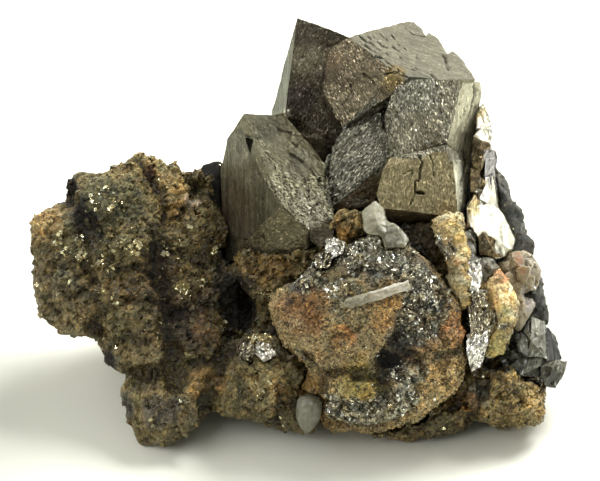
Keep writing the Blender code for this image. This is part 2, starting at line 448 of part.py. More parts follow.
def largest_piece(solid):
    """Keep the largest connected body of a solid, without crumbs left by a cut."""
    bm = bmesh.new()
    bm.from_mesh(solid.data)
    unseen = set(bm.verts)
    bodies = []
    while unseen:
        todo = [unseen.pop()]
        body = set(todo)
        while todo:
            for edge in todo.pop().link_edges:
                for vert in edge.verts:
                    if vert in unseen:
                        unseen.discard(vert)
                        body.add(vert)
                        todo.append(vert)
        bodies.append(body)
    bodies.sort(key=len)
    for body in bodies[:-1]:
        bmesh.ops.delete(bm, geom=list(body), context="VERTS")
    bm.to_mesh(solid.data)
    bm.free()


def clean(solid):
    """Weld points that a cut left almost on each other, and cut faces to triangles."""
    bm = bmesh.new()
    bm.from_mesh(solid.data)
    bmesh.ops.remove_doubles(bm, verts=bm.verts, dist=WELD * MM)
    bmesh.ops.dissolve_degenerate(bm, edges=bm.edges, dist=WELD * MM)
    drop_loose(bm)
    bmesh.ops.triangulate(bm, faces=bm.faces)
    rim = [edge for edge in bm.edges if edge.is_boundary]
    bmesh.ops.holes_fill(bm, edges=rim)
    bmesh.ops.triangulate(bm, faces=bm.faces)
    bmesh.ops.recalc_face_normals(bm, faces=bm.faces)
    bm.to_mesh(solid.data)
    bm.free()


def make_room(solid, neighbours):
    """Cut a solid back from its neighbours, with the clear gap between them."""
    for other in neighbours:
        cutter = swollen(other, GAP)
        boolean(solid, cutter, "DIFFERENCE", folded=True)
        discard(cutter)
    largest_piece(solid)
    clean(solid)


def trim_underside(solid):
    """Saw the specimen off flat below."""
    bm = bmesh.new()
    bmesh.ops.create_cube(bm, size=TRIM_REACH * MM)
    drop = TRIM_HEIGHT - TRIM_REACH / 2
    bmesh.ops.translate(bm, verts=bm.verts, vec=(0.0, 0.0, drop * MM))
    saw = new_object("saw", bm)
    boolean(solid, saw, "DIFFERENCE")
    discard(saw)


def finish(solid, material):
    """Move a finished solid over the origin and give it its own material."""
    solid.data.transform(Matrix.Translation(Vector(CENTRING) * MM))
    colour, roughness, metallic = MATERIALS[material]
    skin = bpy.data.materials.new(solid.name)
    skin.use_nodes = True
    shader = skin.node_tree.nodes["Principled BSDF"]
    shader.inputs["Base Color"].default_value = (*colour, 1.0)
    shader.inputs["Roughness"].default_value = roughness
    shader.inputs["Metallic"].default_value = metallic
    solid.data.materials.clear()
    solid.data.materials.append(skin)


def arsenopyrite():
    """Six blocky crystals grown together, with their steps and gashes."""
    crystals = [CRYSTAL_B, CRYSTAL_A, CRYSTAL_C, CRYSTAL_C_FOOT, CRYSTAL_D, CRYSTAL_E, CRYSTAL_F]
    cluster = unite("arsenopyrite_cluster", [block(corners) for corners in crystals])
    for notch in (STEP_HIGH, STEP_MIDDLE, GASH_B, GASH_C, NOTCH_E, CRACK_E):
        carve(cluster, notch)
    largest_piece(cluster)
    clean(cluster)
    return cluster


def lumpy(name, blocks, balls, voxel, faces, sizes, amounts, shift, grow=0.0, hollows=()):
    """Brown or dark mass: blocks and balls melted together, roughened and thinned."""
    lumps = [block(corners) for corners in blocks]
    lumps += [ball(centre, radius) for centre, radius in balls]
    mass = merged(name, lumps)
    melt(mass, voxel)
    roughen(mass, sizes, amounts, shift, grow)
    melt(mass, voxel)
    thin(mass, faces)
    for centre, radius in hollows:
        cutter = ball(centre, radius)
        boolean(mass, cutter, "DIFFERENCE")
        discard(cutter)
    largest_piece(mass)
    clean(mass)
    return mass


def build():
    clear_scene()
    cluster = arsenopyrite()
    point = unite("quartz_point", [block(QUARTZ_POINT), block(QUARTZ_POINT_BASE)])
    rod = prism(ROD_START, ROD_END, ROD_RADIUS, (True, False), "quartz_rod")
    tooth = prism(TOOTH_TOP, TOOTH_TIP, TOOTH_RADIUS, (False, True), "quartz_tooth")
    milky = unite("quartz_cluster", [block(QUARTZ_LARGE), block(QUARTZ_SMALL)])
    dome = unite("quartz_dome", [block(QUARTZ_DOME), block(QUARTZ_STRIP)])
    pyrite = unite("pyrite_cluster", [block(PYRITE_SPINE)] + [block(b) for b in PYRITE_BLOCKS])
    strip = unite("pyrite_strip", [block(b) for b in STRIP_BLOCKS])
    corner = unite("pyrite_corner", [block(b) for b in CORNER_BLOCKS])
    nest = unite("pyrite_nest", [block(b) for b in NEST_BLOCKS])
    dark = unite("dark_crystals", [block(b) for b in DARK_BLOCKS])
    ochre = lumpy("ochre_crust", [], OCHRE_BALLS, CRUST_VOXEL, CRUST_FACES,
                  (2.2,), (0.5,), (3, 1, 4))
    slab = lumpy("crusted_slab", [SLAB_PLATE, SLAB_RIM, SLAB_FOOT], SLAB_BALLS, SLAB_VOXEL,
                 SLAB_FACES, (5.0, 2.6), (0.8, 0.6), (1, 5, 9), 0.1, SLAB_HOLLOWS)
    rock = lumpy("host_rock", ROCK_BLOCKS, ROCK_BALLS, ROCK_VOXEL, ROCK_FACES,
                 (7.0, 3.2), (1.4, 0.9), (2, 6, 5), 0.1)
    matrix = lumpy("siderite_matrix", MATRIX_BLOCKS, MATRIX_BALLS, MATRIX_VOXEL, MATRIX_FACES,
                   (6.0, 3.0), (1.3, 1.0), (3, 5, 8), 0.35)
    carve(matrix, CAVITY)

    placed = [cluster]
    order = [point, rod, tooth, milky, dome, corner, nest, pyrite, strip, dark, slab, ochre,
             rock, matrix]
    for solid in order:
        if solid in (rock, matrix, slab, tooth):
            trim_underside(solid)
        make_room(solid, placed)
        placed.append(solid)

    finish(cluster, "arsenopyrite")
    for solid in (point, rod, tooth, milky, dome):
        finish(solid, "quartz")
    for solid in (pyrite, strip, corner, nest):
        finish(solid, "pyrite")
    finish(dark, "dark_crystal")
    finish(ochre, "ochre")
    finish(slab, "slab")
    finish(rock, "host_rock")
    finish(matrix, "siderite")


build()
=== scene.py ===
"""Dressed arsenopyrite specimen: the frame's solids with real surface relief, druzy crystals and finishes.

Places are given in millimetres in the tilted drawing frame: right, up and towards the viewer.
"""
import math

import bmesh
import bpy
import numpy as np
from mathutils import Matrix, Vector
from mathutils.bvhtree import BVHTree

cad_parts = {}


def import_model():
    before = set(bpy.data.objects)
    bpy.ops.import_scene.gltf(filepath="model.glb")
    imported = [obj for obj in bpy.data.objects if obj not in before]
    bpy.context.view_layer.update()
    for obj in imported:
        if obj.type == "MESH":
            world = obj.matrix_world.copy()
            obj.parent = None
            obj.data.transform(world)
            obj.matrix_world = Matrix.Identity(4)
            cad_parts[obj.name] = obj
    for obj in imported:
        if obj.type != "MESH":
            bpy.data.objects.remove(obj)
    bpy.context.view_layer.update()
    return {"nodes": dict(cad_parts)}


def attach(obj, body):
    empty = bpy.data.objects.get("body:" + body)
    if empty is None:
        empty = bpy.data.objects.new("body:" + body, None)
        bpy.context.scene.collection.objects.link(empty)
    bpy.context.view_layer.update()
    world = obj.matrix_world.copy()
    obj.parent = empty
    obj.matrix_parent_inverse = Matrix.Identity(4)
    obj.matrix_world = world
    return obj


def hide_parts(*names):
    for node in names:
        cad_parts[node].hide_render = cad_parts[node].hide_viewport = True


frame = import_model()

MM = 0.001
LOOK_DOWN = math.radians(38.0)          # tilt of the drawing frame, as in the solids
FOOT = np.array([-0.08, -20.63, -0.5])  # world place of the drawing frame's zero, millimetres
VIEW_CENTRE = (0.4, 29.5, 3.0)          # middle of the picture in the drawing frame
VIEW_WIDTH = 86.6                       # width of the picture at that depth, millimetres
CAMERA_FAR = 1100.0                     # distance of the lens from that point
SEED = 11
TINY = 1e-20                            # keeps a division from failing where a length is nought
DEPTH_COUNTS_LESS = (1, 1, 0.55)        # for distances in the drawing frame
FOOT_CLEAR = 0.0012                     # no loose crystal starts lower than this, metres
QUARTZ_IOR = 1.55

RIGHT = np.array([1.0, 0.0, 0.0])
UP = np.array([0.0, math.sin(LOOK_DOWN), math.cos(LOOK_DOWN)])
NEAR = np.array([0.0, -math.cos(LOOK_DOWN), math.sin(LOOK_DOWN)])
TURN = np.stack([RIGHT, UP, NEAR])      # rows turn world millimetres into the drawing frame


def spot(point):
    """World place in metres of a drawing-frame point."""
    return (FOOT + np.asarray(point, float) @ TURN) * MM


def drawn(places):
    """Drawing-frame millimetres of world places in metres."""
    return (np.asarray(places) / MM - FOOT) @ TURN.T


# Repeatable noise on arrays of points


def mix_bits(cells, seed):
    """One whole number for each grid cell, well mixed and the same each run."""
    cells = cells.astype(np.int64).astype(np.uint64)
    bits = cells[..., 0] * np.uint64(0x9E3779B97F4A7C15)
    bits ^= cells[..., 1] * np.uint64(0xC2B2AE3D27D4EB4F)
    bits ^= cells[..., 2] * np.uint64(0x165667B19E3779F9)
    bits += np.uint64(seed * 7919 + 13)
    bits ^= bits >> np.uint64(31)
    bits *= np.uint64(0xBF58476D1CE4E5B9)
    bits ^= bits >> np.uint64(29)
    bits *= np.uint64(0x94D049BB133111EB)
    return bits ^ (bits >> np.uint64(32))


def cell_random(cells, seed):
    """Random numbers from 0 to 1 for grid cells."""
    return (mix_bits(cells, seed) >> np.uint64(40)).astype(float) / float(1 << 24)


def smooth_noise(points, seed):
    """Value noise from -1 to 1 with a grid of one unit."""
    base = np.floor(points)
    part = points - base
    part = part * part * (3 - 2 * part)
    total = np.zeros(len(points))
    for corner in np.ndindex(2, 2, 2):
        weight = np.prod(np.where(np.array(corner), part, 1 - part), axis=1)
        total += weight * cell_random(base + np.array(corner), seed)
    return total * 2 - 1


def shaken(points, size, amount, seed):
    """Points moved a little by smooth noise, so that lines drawn over them wander."""
    return points + amount * np.stack([smooth_noise(points / size, seed + k) for k in range(3)], axis=1)


def layered(points, size, layers, seed):
    """Several layers of noise, each half the size and half the height of the one before."""
    total = np.zeros(len(points))
    for layer in range(layers):
        half = 0.5 ** layer
        total += half * smooth_noise(points / (size * half) + 31.7 * layer, seed + layer)
    return total


def grains(points, size, seed):
    """Nearest grain centre of a jittered grid: distance, distance to the next one, offset, random."""
    scaled = points / size
    base = np.floor(scaled)
    best = np.full(len(points), 9.0)
    second = np.full(len(points), 9.0)
    offset = np.zeros((len(points), 3))
    chosen = np.zeros((len(points), 3))
    for step in np.ndindex(3, 3, 3):
        cell = base + np.array(step) - 1
        jitter = np.stack([cell_random(cell, seed + k) for k in range(3)], axis=1)
        away = scaled - (cell + jitter)
        distance = np.linalg.norm(away, axis=1)
        closer = distance < best
        second = np.where(closer, best, np.minimum(second, distance))
        best = np.where(closer, distance, best)
        offset[closer] = away[closer]
        chosen[closer] = cell[closer]
    dice = np.stack([cell_random(chosen, seed + 50 + k) for k in range(3)], axis=1) * 2 - 1
    return best * size, second * size, offset * size, dice


def crystal_facets(points, size, steep, seed):
    """Height of a skin of small tilted crystal faces: each grain is a plane with its own tilt."""
    near, far, offset, dice = grains(points, size, seed)
    tilt = np.einsum("ij,ij->i", offset, dice)
    return steep * tilt + 0.25 * np.minimum(far - near, 0.3 * size)


# Mesh helpers


def arrays(mesh):
    """Points in metres and triangles of a mesh."""
    mesh.calc_loop_triangles()
    places = np.empty(len(mesh.vertices) * 3)
    mesh.vertices.foreach_get("co", places)
    corners = np.empty(len(mesh.loop_triangles) * 3, np.int32)
    mesh.loop_triangles.foreach_get("vertices", corners)
    return places.reshape(-1, 3), corners.reshape(-1, 3)


def area_normals(places, tris):
    """Normals of triangles, each as long as twice the triangle's area."""
    a, b, c = (places[tris[:, corner]] for corner in range(3))
    return np.cross(b - a, c - a)


def unit(vectors):
    """Vectors brought to length one."""
    return vectors / np.maximum(np.linalg.norm(vectors, axis=1, keepdims=True), TINY)


def edge_ends(tris):
    """The two points of each side of each triangle."""
    return np.stack([tris, np.roll(tris, -1, axis=1)], axis=2)


def edge_keys(ends, count):
    """One number for each edge, the same from both of its sides."""
    ends = np.sort(ends, axis=-1).astype(np.int64)
    return ends[..., 0] * count + ends[..., 1]


def between_faces(index, owner, count):
    """Which points or edges touch more than one flat face."""
    low = np.full(count, 1 << 30)
    high = np.full(count, -1)
    np.minimum.at(low, index, owner)
    np.maximum.at(high, index, owner)
    return low != high


def point_normals(places, tris):
    """Unit normals of points, weighted by the area around them."""
    normal = area_normals(places, tris)
    total = np.zeros_like(places)
    for corner in range(3):
        np.add.at(total, tris[:, corner], normal)
    return unit(total)


def make_object(name, places, tris, smooth=False):
    """Object from points and triangles."""
    mesh = bpy.data.meshes.new(name)
    mesh.vertices.add(len(places))
    mesh.vertices.foreach_set("co", np.ascontiguousarray(places, np.float32).ravel())
    mesh.loops.add(len(tris) * 3)
    mesh.loops.foreach_set("vertex_index", np.ascontiguousarray(tris, np.int32).ravel())
    mesh.polygons.add(len(tris))
    mesh.polygons.foreach_set("loop_start", np.arange(0, len(tris) * 3, 3, dtype=np.int32))
    mesh.update(calc_edges=True)
    mesh.validate()
    for polygon in mesh.polygons:
        polygon.use_smooth = smooth
    made = bpy.data.objects.new(name, mesh)
    bpy.context.scene.collection.objects.link(made)
    return made


def remeshed(node, voxel, plugs=()):
    """Fine even skin of a frame solid, its gaps closed by flattened balls: points and triangles."""
    source = frame["nodes"][node]
    copy = bpy.data.objects.new("copy", source.data.copy())
    bpy.context.scene.collection.objects.link(copy)
    bm = bmesh.new()
    bm.from_mesh(copy.data)
    for centre, radii in plugs:
        for vert in bmesh.ops.create_icosphere(bm, subdivisions=3, radius=1.0)["verts"]:
            vert.co = spot(np.array(centre) + np.array(vert.co[:]) * radii)
    bm.to_mesh(copy.data)
    bm.free()
    step = copy.modifiers.new("skin", "REMESH")
    step.mode = "VOXEL"
    step.voxel_size = voxel * MM
    bpy.context.view_layer.update()
    graph = bpy.context.evaluated_depsgraph_get()
    skin = bpy.data.meshes.new_from_object(copy.evaluated_get(graph))
    result = arrays(skin)
    bpy.data.objects.remove(copy, do_unlink=True)
    return result


def split_long_edges(places, tris, owner, longest):
    """Cut triangles at the middle of every edge longer than a limit, until none is left."""
    while True:
        ends = edge_ends(tris)
        middle = (places[ends[..., 0]] + places[ends[..., 1]]) / 2
        length = np.linalg.norm(places[ends[..., 0]] - places[ends[..., 1]], axis=2)
        marked = length > longest(middle.reshape(-1, 3)).reshape(length.shape) * MM
        if not marked.any():
            return places, tris, owner
        key = edge_keys(ends, len(places))
        wanted, where = np.unique(key[marked], return_inverse=True)
        new_places = np.stack([places[wanted // len(places)], places[wanted % len(places)]]).mean(0)
        index = np.full(key.shape, -1)
        index[marked] = where.ravel() + len(places)
        # an edge marked by one triangle is marked by its neighbour too, because its middle is the same
        places = np.vstack([places, new_places])
        a, b, c = tris.T
        ab, bc, ca = index.T
        count = marked.sum(1)
        out, kept = [tris[count == 0]], [owner[count == 0]]

        def add(mask, *rows):
            for row in rows:
                out.append(np.stack([r[mask] for r in row], axis=1))
                kept.append(owner[mask])

        add(count == 3, (a, ab, ca), (ab, b, bc), (ca, bc, c), (ab, bc, ca))
        corner = (a, b, c)
        edge = (ab, bc, ca)
        for k in range(3):
            p, q, r = corner[k], corner[(k + 1) % 3], corner[(k + 2) % 3]
            pq, qr, rp = edge[k], edge[(k + 1) % 3], edge[(k + 2) % 3]
            add((count == 1) & (pq >= 0), (p, pq, r), (pq, q, r))
            add((count == 2) & (rp < 0), (pq, q, qr), (p, pq, qr), (p, qr, r))
        tris = np.vstack(out)
        owner = np.concatenate(kept)


def set_colour(thing, values, domain="POINT"):
    """Tint of each point or face corner."""
    layer = thing.data.color_attributes.new("tint", "FLOAT_COLOR", domain)
    full = np.ones((len(values), 4), np.float32)
    full[:, :3] = values
    layer.data.foreach_set("color", full.ravel())


def set_corner_vectors(thing, name, values):
    """Vector of each face corner."""
    layer = thing.data.attributes.new(name, "FLOAT_VECTOR", "CORNER")
    layer.data.foreach_set("vector", np.ascontiguousarray(values, np.float32).ravel())


def blend(a, b, share):
    """Mix two colours or arrays of them."""
    return a * (1 - share[:, None]) + np.asarray(b) * share[:, None]


def ease(value, low, high):
    """Smooth step from 0 at low to 1 at high."""
    t = np.clip((value - low) / (high - low), 0, 1)
    return t * t * (3 - 2 * t)


def paint_zones(places, base, zones, wobble, seed):
    """Colour of points: a base with soft patches (centre, radius, colour, strength) whose rims wander
    and whose middles are mottled."""
    here = drawn(places)
    wander = wobble * layered(here, 3.0, 3, seed)
    mottle = np.clip(0.75 + 0.9 * layered(here, 0.9, 3, seed + 40), 0, 1)
    colour = np.tile(np.asarray(base, float), (len(here), 1))
    for number, (centre, radius, patch, strength) in enumerate(zones):
        distance = np.linalg.norm((here - np.asarray(centre)) * DEPTH_COUNTS_LESS, axis=1)
        share = 1 - ease(distance + wander * (1 if number % 2 else -1), 0.5 * radius, 1.25 * radius)
        share = strength * share * np.where(strength > 0.82, 1.0, mottle)
        colour = blend(colour, patch, share)
    return colour


# Small crystals that grow on a skin


def shape_hull(points):
    """Points and triangles of a convex form, faces outwards."""
    bm = bmesh.new()
    for point in points:
        bm.verts.new(point)
    bmesh.ops.convex_hull(bm, input=bm.verts)
    bmesh.ops.recalc_face_normals(bm, faces=bm.faces)
    bmesh.ops.triangulate(bm, faces=bm.faces)
    bm.verts.index_update()
    places = np.array([v.co[:] for v in bm.verts])
    tris = np.array([[v.index for v in f.verts] for f in bm.faces])
    bm.free()
    return places, tris


def form_block(lean):
    """Leaning block: a rhombohedron, or a cube where lean is 0."""
    corners = np.array(list(np.ndindex(2, 2, 2)), float) * 2 - 1
    corners[:, 0] += lean * corners[:, 2]
    corners[:, 1] += lean * corners[:, 2]
    return shape_hull(corners * 0.5)


def form_double():
    """Eight-faced crystal with cut tips."""
    points = []
    for axis in range(3):
        for sign in (-1, 1):
            for side in ((0.18, 0.1), (-0.18, 0.12), (0.1, -0.18), (-0.12, -0.16)):
                point = np.zeros(3)
                point[axis] = 0.5 * sign
                point[(axis + 1) % 3], point[(axis + 2) % 3] = side
                points.append(point)
    return shape_hull(points)


def random_turns(count, rng):
    """Evenly spread random rotations."""
    q = rng.normal(size=(count, 4))
    q /= np.linalg.norm(q, axis=1, keepdims=True)
    w, x, y, z = q.T
    return np.stack([
        1 - 2 * (y * y + z * z), 2 * (x * y - z * w), 2 * (x * z + y * w),
        2 * (x * y + z * w), 1 - 2 * (x * x + z * z), 2 * (y * z - x * w),
        2 * (x * z - y * w), 2 * (y * z + x * w), 1 - 2 * (x * x + y * y),
    ], axis=1).reshape(-1, 3, 3)


def grow(places, tris, chance, count, forms, sizes, sink, rng):
    """Scatter small crystals over a skin: chance is the weight of each triangle."""
    normal = area_normals(places, tris)
    weight = np.linalg.norm(normal, axis=1) * chance
    picked = rng.choice(len(tris), count, p=weight / weight.sum())
    share = rng.dirichlet((1, 1, 1), count)
    where = np.einsum("ij,ijk->ik", share, places[tris[picked]])
    outward = unit(normal)[picked]
    size = sizes[0] + (sizes[1] - sizes[0]) * rng.random(count) ** 2
    turn = random_turns(count, rng)
    which = rng.integers(0, len(forms), count)
    stretch = 0.75 + 0.5 * rng.random((count, 3))
    all_places, all_tris, under = [], [], []
    start = 0
    for number, (form_places, form_tris) in enumerate(forms):
        mine = np.flatnonzero(which == number)
        local = form_places[None] * stretch[mine, None] * size[mine, None, None] * MM
        local = np.einsum("nij,nkj->nki", turn[mine], local)
        centre = where[mine] - outward[mine] * (size[mine] * sink * MM)[:, None]
        all_places.append((local + centre[:, None]).reshape(-1, 3))
        index = np.arange(len(mine))[:, None, None] * len(form_places) + form_tris[None] + start
        all_tris.append(index.reshape(-1, 3))
        under.append(np.repeat(picked[mine], len(form_places)))
        start += len(mine) * len(form_places)
    return np.vstack(all_places), np.vstack(all_tris), np.concatenate(under)


# Node trees


class Graph:
    """Short way to write a node tree."""

    def __init__(self, name, world=False):
        self.owner = (bpy.data.worlds if world else bpy.data.materials).new(name)
        self.owner.use_nodes = True
        self.tree = self.owner.node_tree
        self.tree.nodes.clear()
        self.output = self.node("OutputWorld" if world else "OutputMaterial")

    def node(self, kind, settings=None, **inputs):
        made = self.tree.nodes.new("ShaderNode" + kind)
        for key, value in (settings or {}).items():
            setattr(made, key, value)
        for key, value in inputs.items():
            self.feed(made.inputs[key.replace("_", " ")], value)
        return made

    def feed(self, socket, value):
        if isinstance(value, bpy.types.NodeSocket):
            self.tree.links.new(value, socket)
        elif value is not None:
            socket.default_value = (*value, 1.0) if socket.type == "RGBA" and len(value) == 3 else value

    def math(self, operation, a, b, clamp=False, kind="Math"):
        made = self.node(kind, {"operation": operation})
        if clamp:
            made.use_clamp = True
        self.feed(made.inputs[0], a)
        self.feed(made.inputs[1], b)
        return made.outputs[0]

    def plus(self, a, b):
        return self.math("ADD", a, b)

    def minus(self, a, b):
        return self.math("SUBTRACT", a, b)

    def times(self, a, b, clamp=False):
        return self.math("MULTIPLY", a, b, clamp)

    def vector(self, operation, a, b=None):
        return self.math(operation, a, b, kind="VectorMath")

    def scaled(self, vector, amount):
        """Vector or colour times a number."""
        made = self.node("VectorMath", {"operation": "SCALE"}, Scale=amount)
        self.feed(made.inputs[0], vector)
        return made.outputs[0]

    def place(self):
        """Position on the object, in millimetres."""
        return self.scaled(self.node("TexCoord").outputs["Object"], 1 / MM)

    def attribute(self, name, kind="Vector"):
        return self.node("Attribute", {"attribute_name": name}).outputs[kind]

    def parts(self, colour):
        """Three numbers of a colour."""
        return self.node("SeparateColor", Color=colour).outputs

    def noise(self, where, scale, detail, rough):
        made = self.node("TexNoise", Vector=where, Scale=scale, Detail=detail, Roughness=rough)
        return made.outputs["Fac"]

    def cells(self, where, scale, jitter=1.0, measure="EUCLIDEAN"):
        """Random colour of each cell."""
        return self.node("TexVoronoi", {"distance": measure}, Vector=where, Scale=scale,
                         Randomness=jitter).outputs["Color"]

    def ramp(self, share, low, high, smooth=False):
        """Number that goes from 0 to 1 between two values."""
        return self.node("MapRange", {"interpolation_type": "SMOOTHSTEP" if smooth else "LINEAR"},
                         Value=share, From_Min=low, From_Max=high).outputs["Result"]

    def span(self, share, low, high):
        """Number from low to high as the share goes from 0 to 1."""
        return self.node("MapRange", Value=share, To_Min=low, To_Max=high).outputs["Result"]

    def mix(self, share, a, b):
        made = self.node("Mix", {"data_type": "RGBA", "clamp_factor": True})
        for number, value in ((0, share), (6, a), (7, b)):
            self.feed(made.inputs[number], value)
        return made.outputs[2]

    def bump(self, height, distance, strength, normal):
        """Relief of a height from 0 to 1 that stands for a distance in millimetres."""
        return self.node("Bump", Strength=strength, Distance=distance * MM, Height=height,
                         Normal=normal).outputs["Normal"]

    def tilted(self, colour, amount, normal=None):
        """Surface direction turned a random way in each cell, like many small crystal faces."""
        start = normal or self.node("NewGeometry").outputs["Normal"]
        turn = self.scaled(self.vector("SUBTRACT", colour, (0.5, 0.5, 0.5)), amount)
        return self.vector("NORMALIZE", self.vector("ADD", start, turn))

    def wired(self, shader):
        self.tree.links.new(shader.outputs[0], self.output.inputs["Surface"])
        return self.owner

    def surface(self, **inputs):
        """Principled surface wired to the output."""
        return self.wired(self.node("BsdfPrincipled", **inputs))


def druse_material(name, grain, turn, rough, contrast, metal=0.0, specular=0.4, glints_and_specks=1.6):
    """Skin of tiny crystal faces, each with its own lean, gloss and shade, a few brightened as painted
    glints; the colour is the tint.
    """
    g = Graph(name)
    here = g.place()
    tint = g.attribute("tint", "Color")
    dice = g.cells(here, 1 / grain)
    small_dice = g.cells(here, 2 / grain)
    first, _, third = g.parts(dice)
    small_first, small_second, _ = g.parts(small_dice)
    shade = g.plus(g.span(first, 1 - contrast, 1 + contrast),
                   g.span(small_second, -0.35 * contrast, 0.35 * contrast))
    patchy = g.span(g.ramp(g.noise(here, 0.5, 3.0, 0.6), 0.42, 0.62), 0.25, 1.0)
    # a few small cells brightened in the colour: painted glints
    bright = g.times(g.ramp(small_first, 0.88, 0.93), g.times(patchy, glints_and_specks))
    cloud = g.span(g.noise(here, 0.9, 5.0, 0.65), 0.45, 1.55)
    warm = g.ramp(g.noise(here, 0.55, 4.0, 0.6), 0.35, 0.65)
    stained = g.mix(warm, g.vector("MULTIPLY", tint, (0.92, 1.0, 1.08)),
                    g.vector("MULTIPLY", tint, (1.14, 0.99, 0.80)))
    colour = g.scaled(stained, g.plus(g.times(shade, cloud), bright))
    normal = g.tilted(small_dice, 0.45 * turn, g.tilted(dice, turn))
    normal = g.bump(g.noise(here, 5.0, 4.0, 0.7), 0.12, 0.6, normal)
    # near-black places stay matt, the black rock and the painted shade in the hollows alike
    pale = g.ramp(g.parts(tint)[1], 0.01, 0.06)
    gloss = g.math("MAXIMUM", g.span(third, *rough), g.span(pale, 0.85, 0.0))
    return g.surface(Base_Color=colour, Roughness=gloss, Normal=normal, Metallic=metal,
                     Specular_IOR_Level=specular)


def crystal_material(name, metal=0.85, grain=0.2, turn=0.35, rough=(0.28, 0.5), streaks=0.05,
                     specular=0.5):
    """Flat crystal faces: the tint, fine streaks and ticks along each face's grain, growth steps,
    tilted scales and specks; the bright specks are painted glints."""
    g = Graph(name)
    here = g.place()
    scaly, streaky, dull = g.node("SeparateXYZ", Vector=g.attribute("finish")).outputs
    along = g.attribute("grain")

    def stretched(*amounts):
        return g.vector("MULTIPLY", along, amounts)

    lines = g.plus(g.times(g.noise(stretched(0.35, 5.5, 9.0), 1.0, 4.0, 0.6), 0.6),
                   g.times(g.noise(stretched(0.12, 1.6, 9.0), 1.0, 3.0, 0.6), 0.7))
    ticks = g.ramp(g.noise(stretched(1.0, 4.2, 9.0), 1.0, 2.0, 0.5), 0.36, 0.30)
    ticks = g.times(ticks, g.span(g.ramp(streaky, 0.3, 1.0), 0.15, 0.85))
    dice = g.cells(stretched(0.62 / grain, 1.3 / grain, 7.0), 1.0)
    first, second, third = g.parts(dice)
    steps = g.cells(stretched(0.3, 0.75, 3.0), 1.0, 0.8, "CHEBYCHEV")
    patchy = g.span(g.ramp(g.noise(here, 0.8, 3.0, 0.6), 0.4, 0.62), 0.35, 1.0)
    # bright cells are painted glints; black cells and the random spread are the face's own tone
    bright = g.times(g.ramp(first, 0.86, 0.93), patchy)
    black = g.ramp(second, 0.86, 0.9)
    glints_and_specks = g.plus(g.minus(g.times(bright, 2.6), g.times(black, 0.5)), g.span(third, -0.4, 0.4))
    mottle = g.times(g.span(g.noise(here, 0.45, 6.0, 0.7), 0.62, 1.38),
                     g.span(g.parts(steps)[0], 0.88, 1.12))
    shade = g.plus(1.0, g.times(glints_and_specks, scaly))
    stripe = g.times(g.minus(lines, 0.65), g.times(streaky, 2.4))
    shade = g.times(g.math("MAXIMUM", g.plus(shade, stripe), 0.1), mottle)
    colour = g.scaled(g.attribute("tint", "Color"), g.times(shade, g.minus(1.0, ticks)))
    lean = g.scaled(g.vector("SUBTRACT", dice, (0.5, 0.5, 0.5)), g.times(scaly, turn * 2))
    lean = g.vector("ADD", lean, g.scaled(g.vector("SUBTRACT", steps, (0.5, 0.5, 0.5)), 0.07))
    normal = g.vector("NORMALIZE", g.vector("ADD", g.node("NewGeometry").outputs["Normal"], lean))
    normal = g.bump(g.minus(lines, ticks), streaks * 2, g.times(streaky, 0.9, clamp=True), normal)
    normal = g.bump(g.noise(here, 4.0, 5.0, 0.7), 0.07, 0.5, normal)
    gloss = g.span(g.plus(g.times(third, 0.6), g.times(dull, 0.6)), *rough)
    return g.surface(Base_Color=colour, Roughness=gloss, Normal=normal, Metallic=metal,
                     Specular_IOR_Level=specular)


def quartz_material(name, clear=0.35, milk=0.6, rough=(0.12, 0.35)):
    """Cloudy quartz: partly clear, partly milky, with healed cracks and a stained skin in the tint."""
    g = Graph(name)
    here = g.place()
    cloud = g.noise(here, 0.7, 5.0, 0.6)
    veil = g.ramp(g.noise(g.vector("MULTIPLY", here, (1.0, 2.2, 0.7)), 1.3, 5.0, 0.6), 0.42, 0.66, True)
    colour = g.scaled(g.attribute("tint", "Color"),
                      g.times(g.span(cloud, 0.8, 1.25), g.span(veil, 0.8, 1.1)))
    normal = g.tilted(g.cells(here, 1.6), 0.18)
    normal = g.bump(g.noise(here, 3.0, 5.0, 0.65), 0.1, 0.5, normal)
    return g.surface(Base_Color=colour, Roughness=g.span(cloud, *rough), Normal=normal,
                     Transmission_Weight=clear, IOR=QUARTZ_IOR, Subsurface_Weight=milk,
                     Subsurface_Radius=(1.0, 0.9, 0.7), Subsurface_Scale=0.0015)


# Building a dressed piece


def tree_of(places, tris):
    """Ray search over a skin."""
    return BVHTree.FromPolygons([Vector(p) for p in places], [tuple(int(i) for i in t) for t in tris])


def in_front(tree, pair):
    """First place that the viewer sees on a skin at a drawing-frame place."""
    hit = tree.ray_cast(Vector(spot((*pair, 90))), Vector(-NEAR))[0]
    if hit is None:
        hit = tree.find_nearest(Vector(spot((*pair, 0))))[0]
    return drawn(np.array(hit)[None])[0]


def seated(tree, zones):
    """Zones (place, radius, colour, strength) whose places get the depth of the skin under them."""
    return [(in_front(tree, place), *rest) for place, *rest in zones]


def zone_weight(here, centre, radius, wander=0.0):
    """1 inside a soft ball around a drawing-frame place, 0 outside."""
    distance = np.linalg.norm((here - centre) * DEPTH_COUNTS_LESS, axis=1) + wander
    return 1 - ease(distance, 0.55 * radius, 1.15 * radius)


def ride(thing, material, slot, *nodes):
    """Give a piece its material; it moves with the specimen and may stand for solids. The slot is not used.
    """
    thing.data.materials.append(material)
    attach(thing, "root")
    if nodes:
        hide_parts(*nodes)
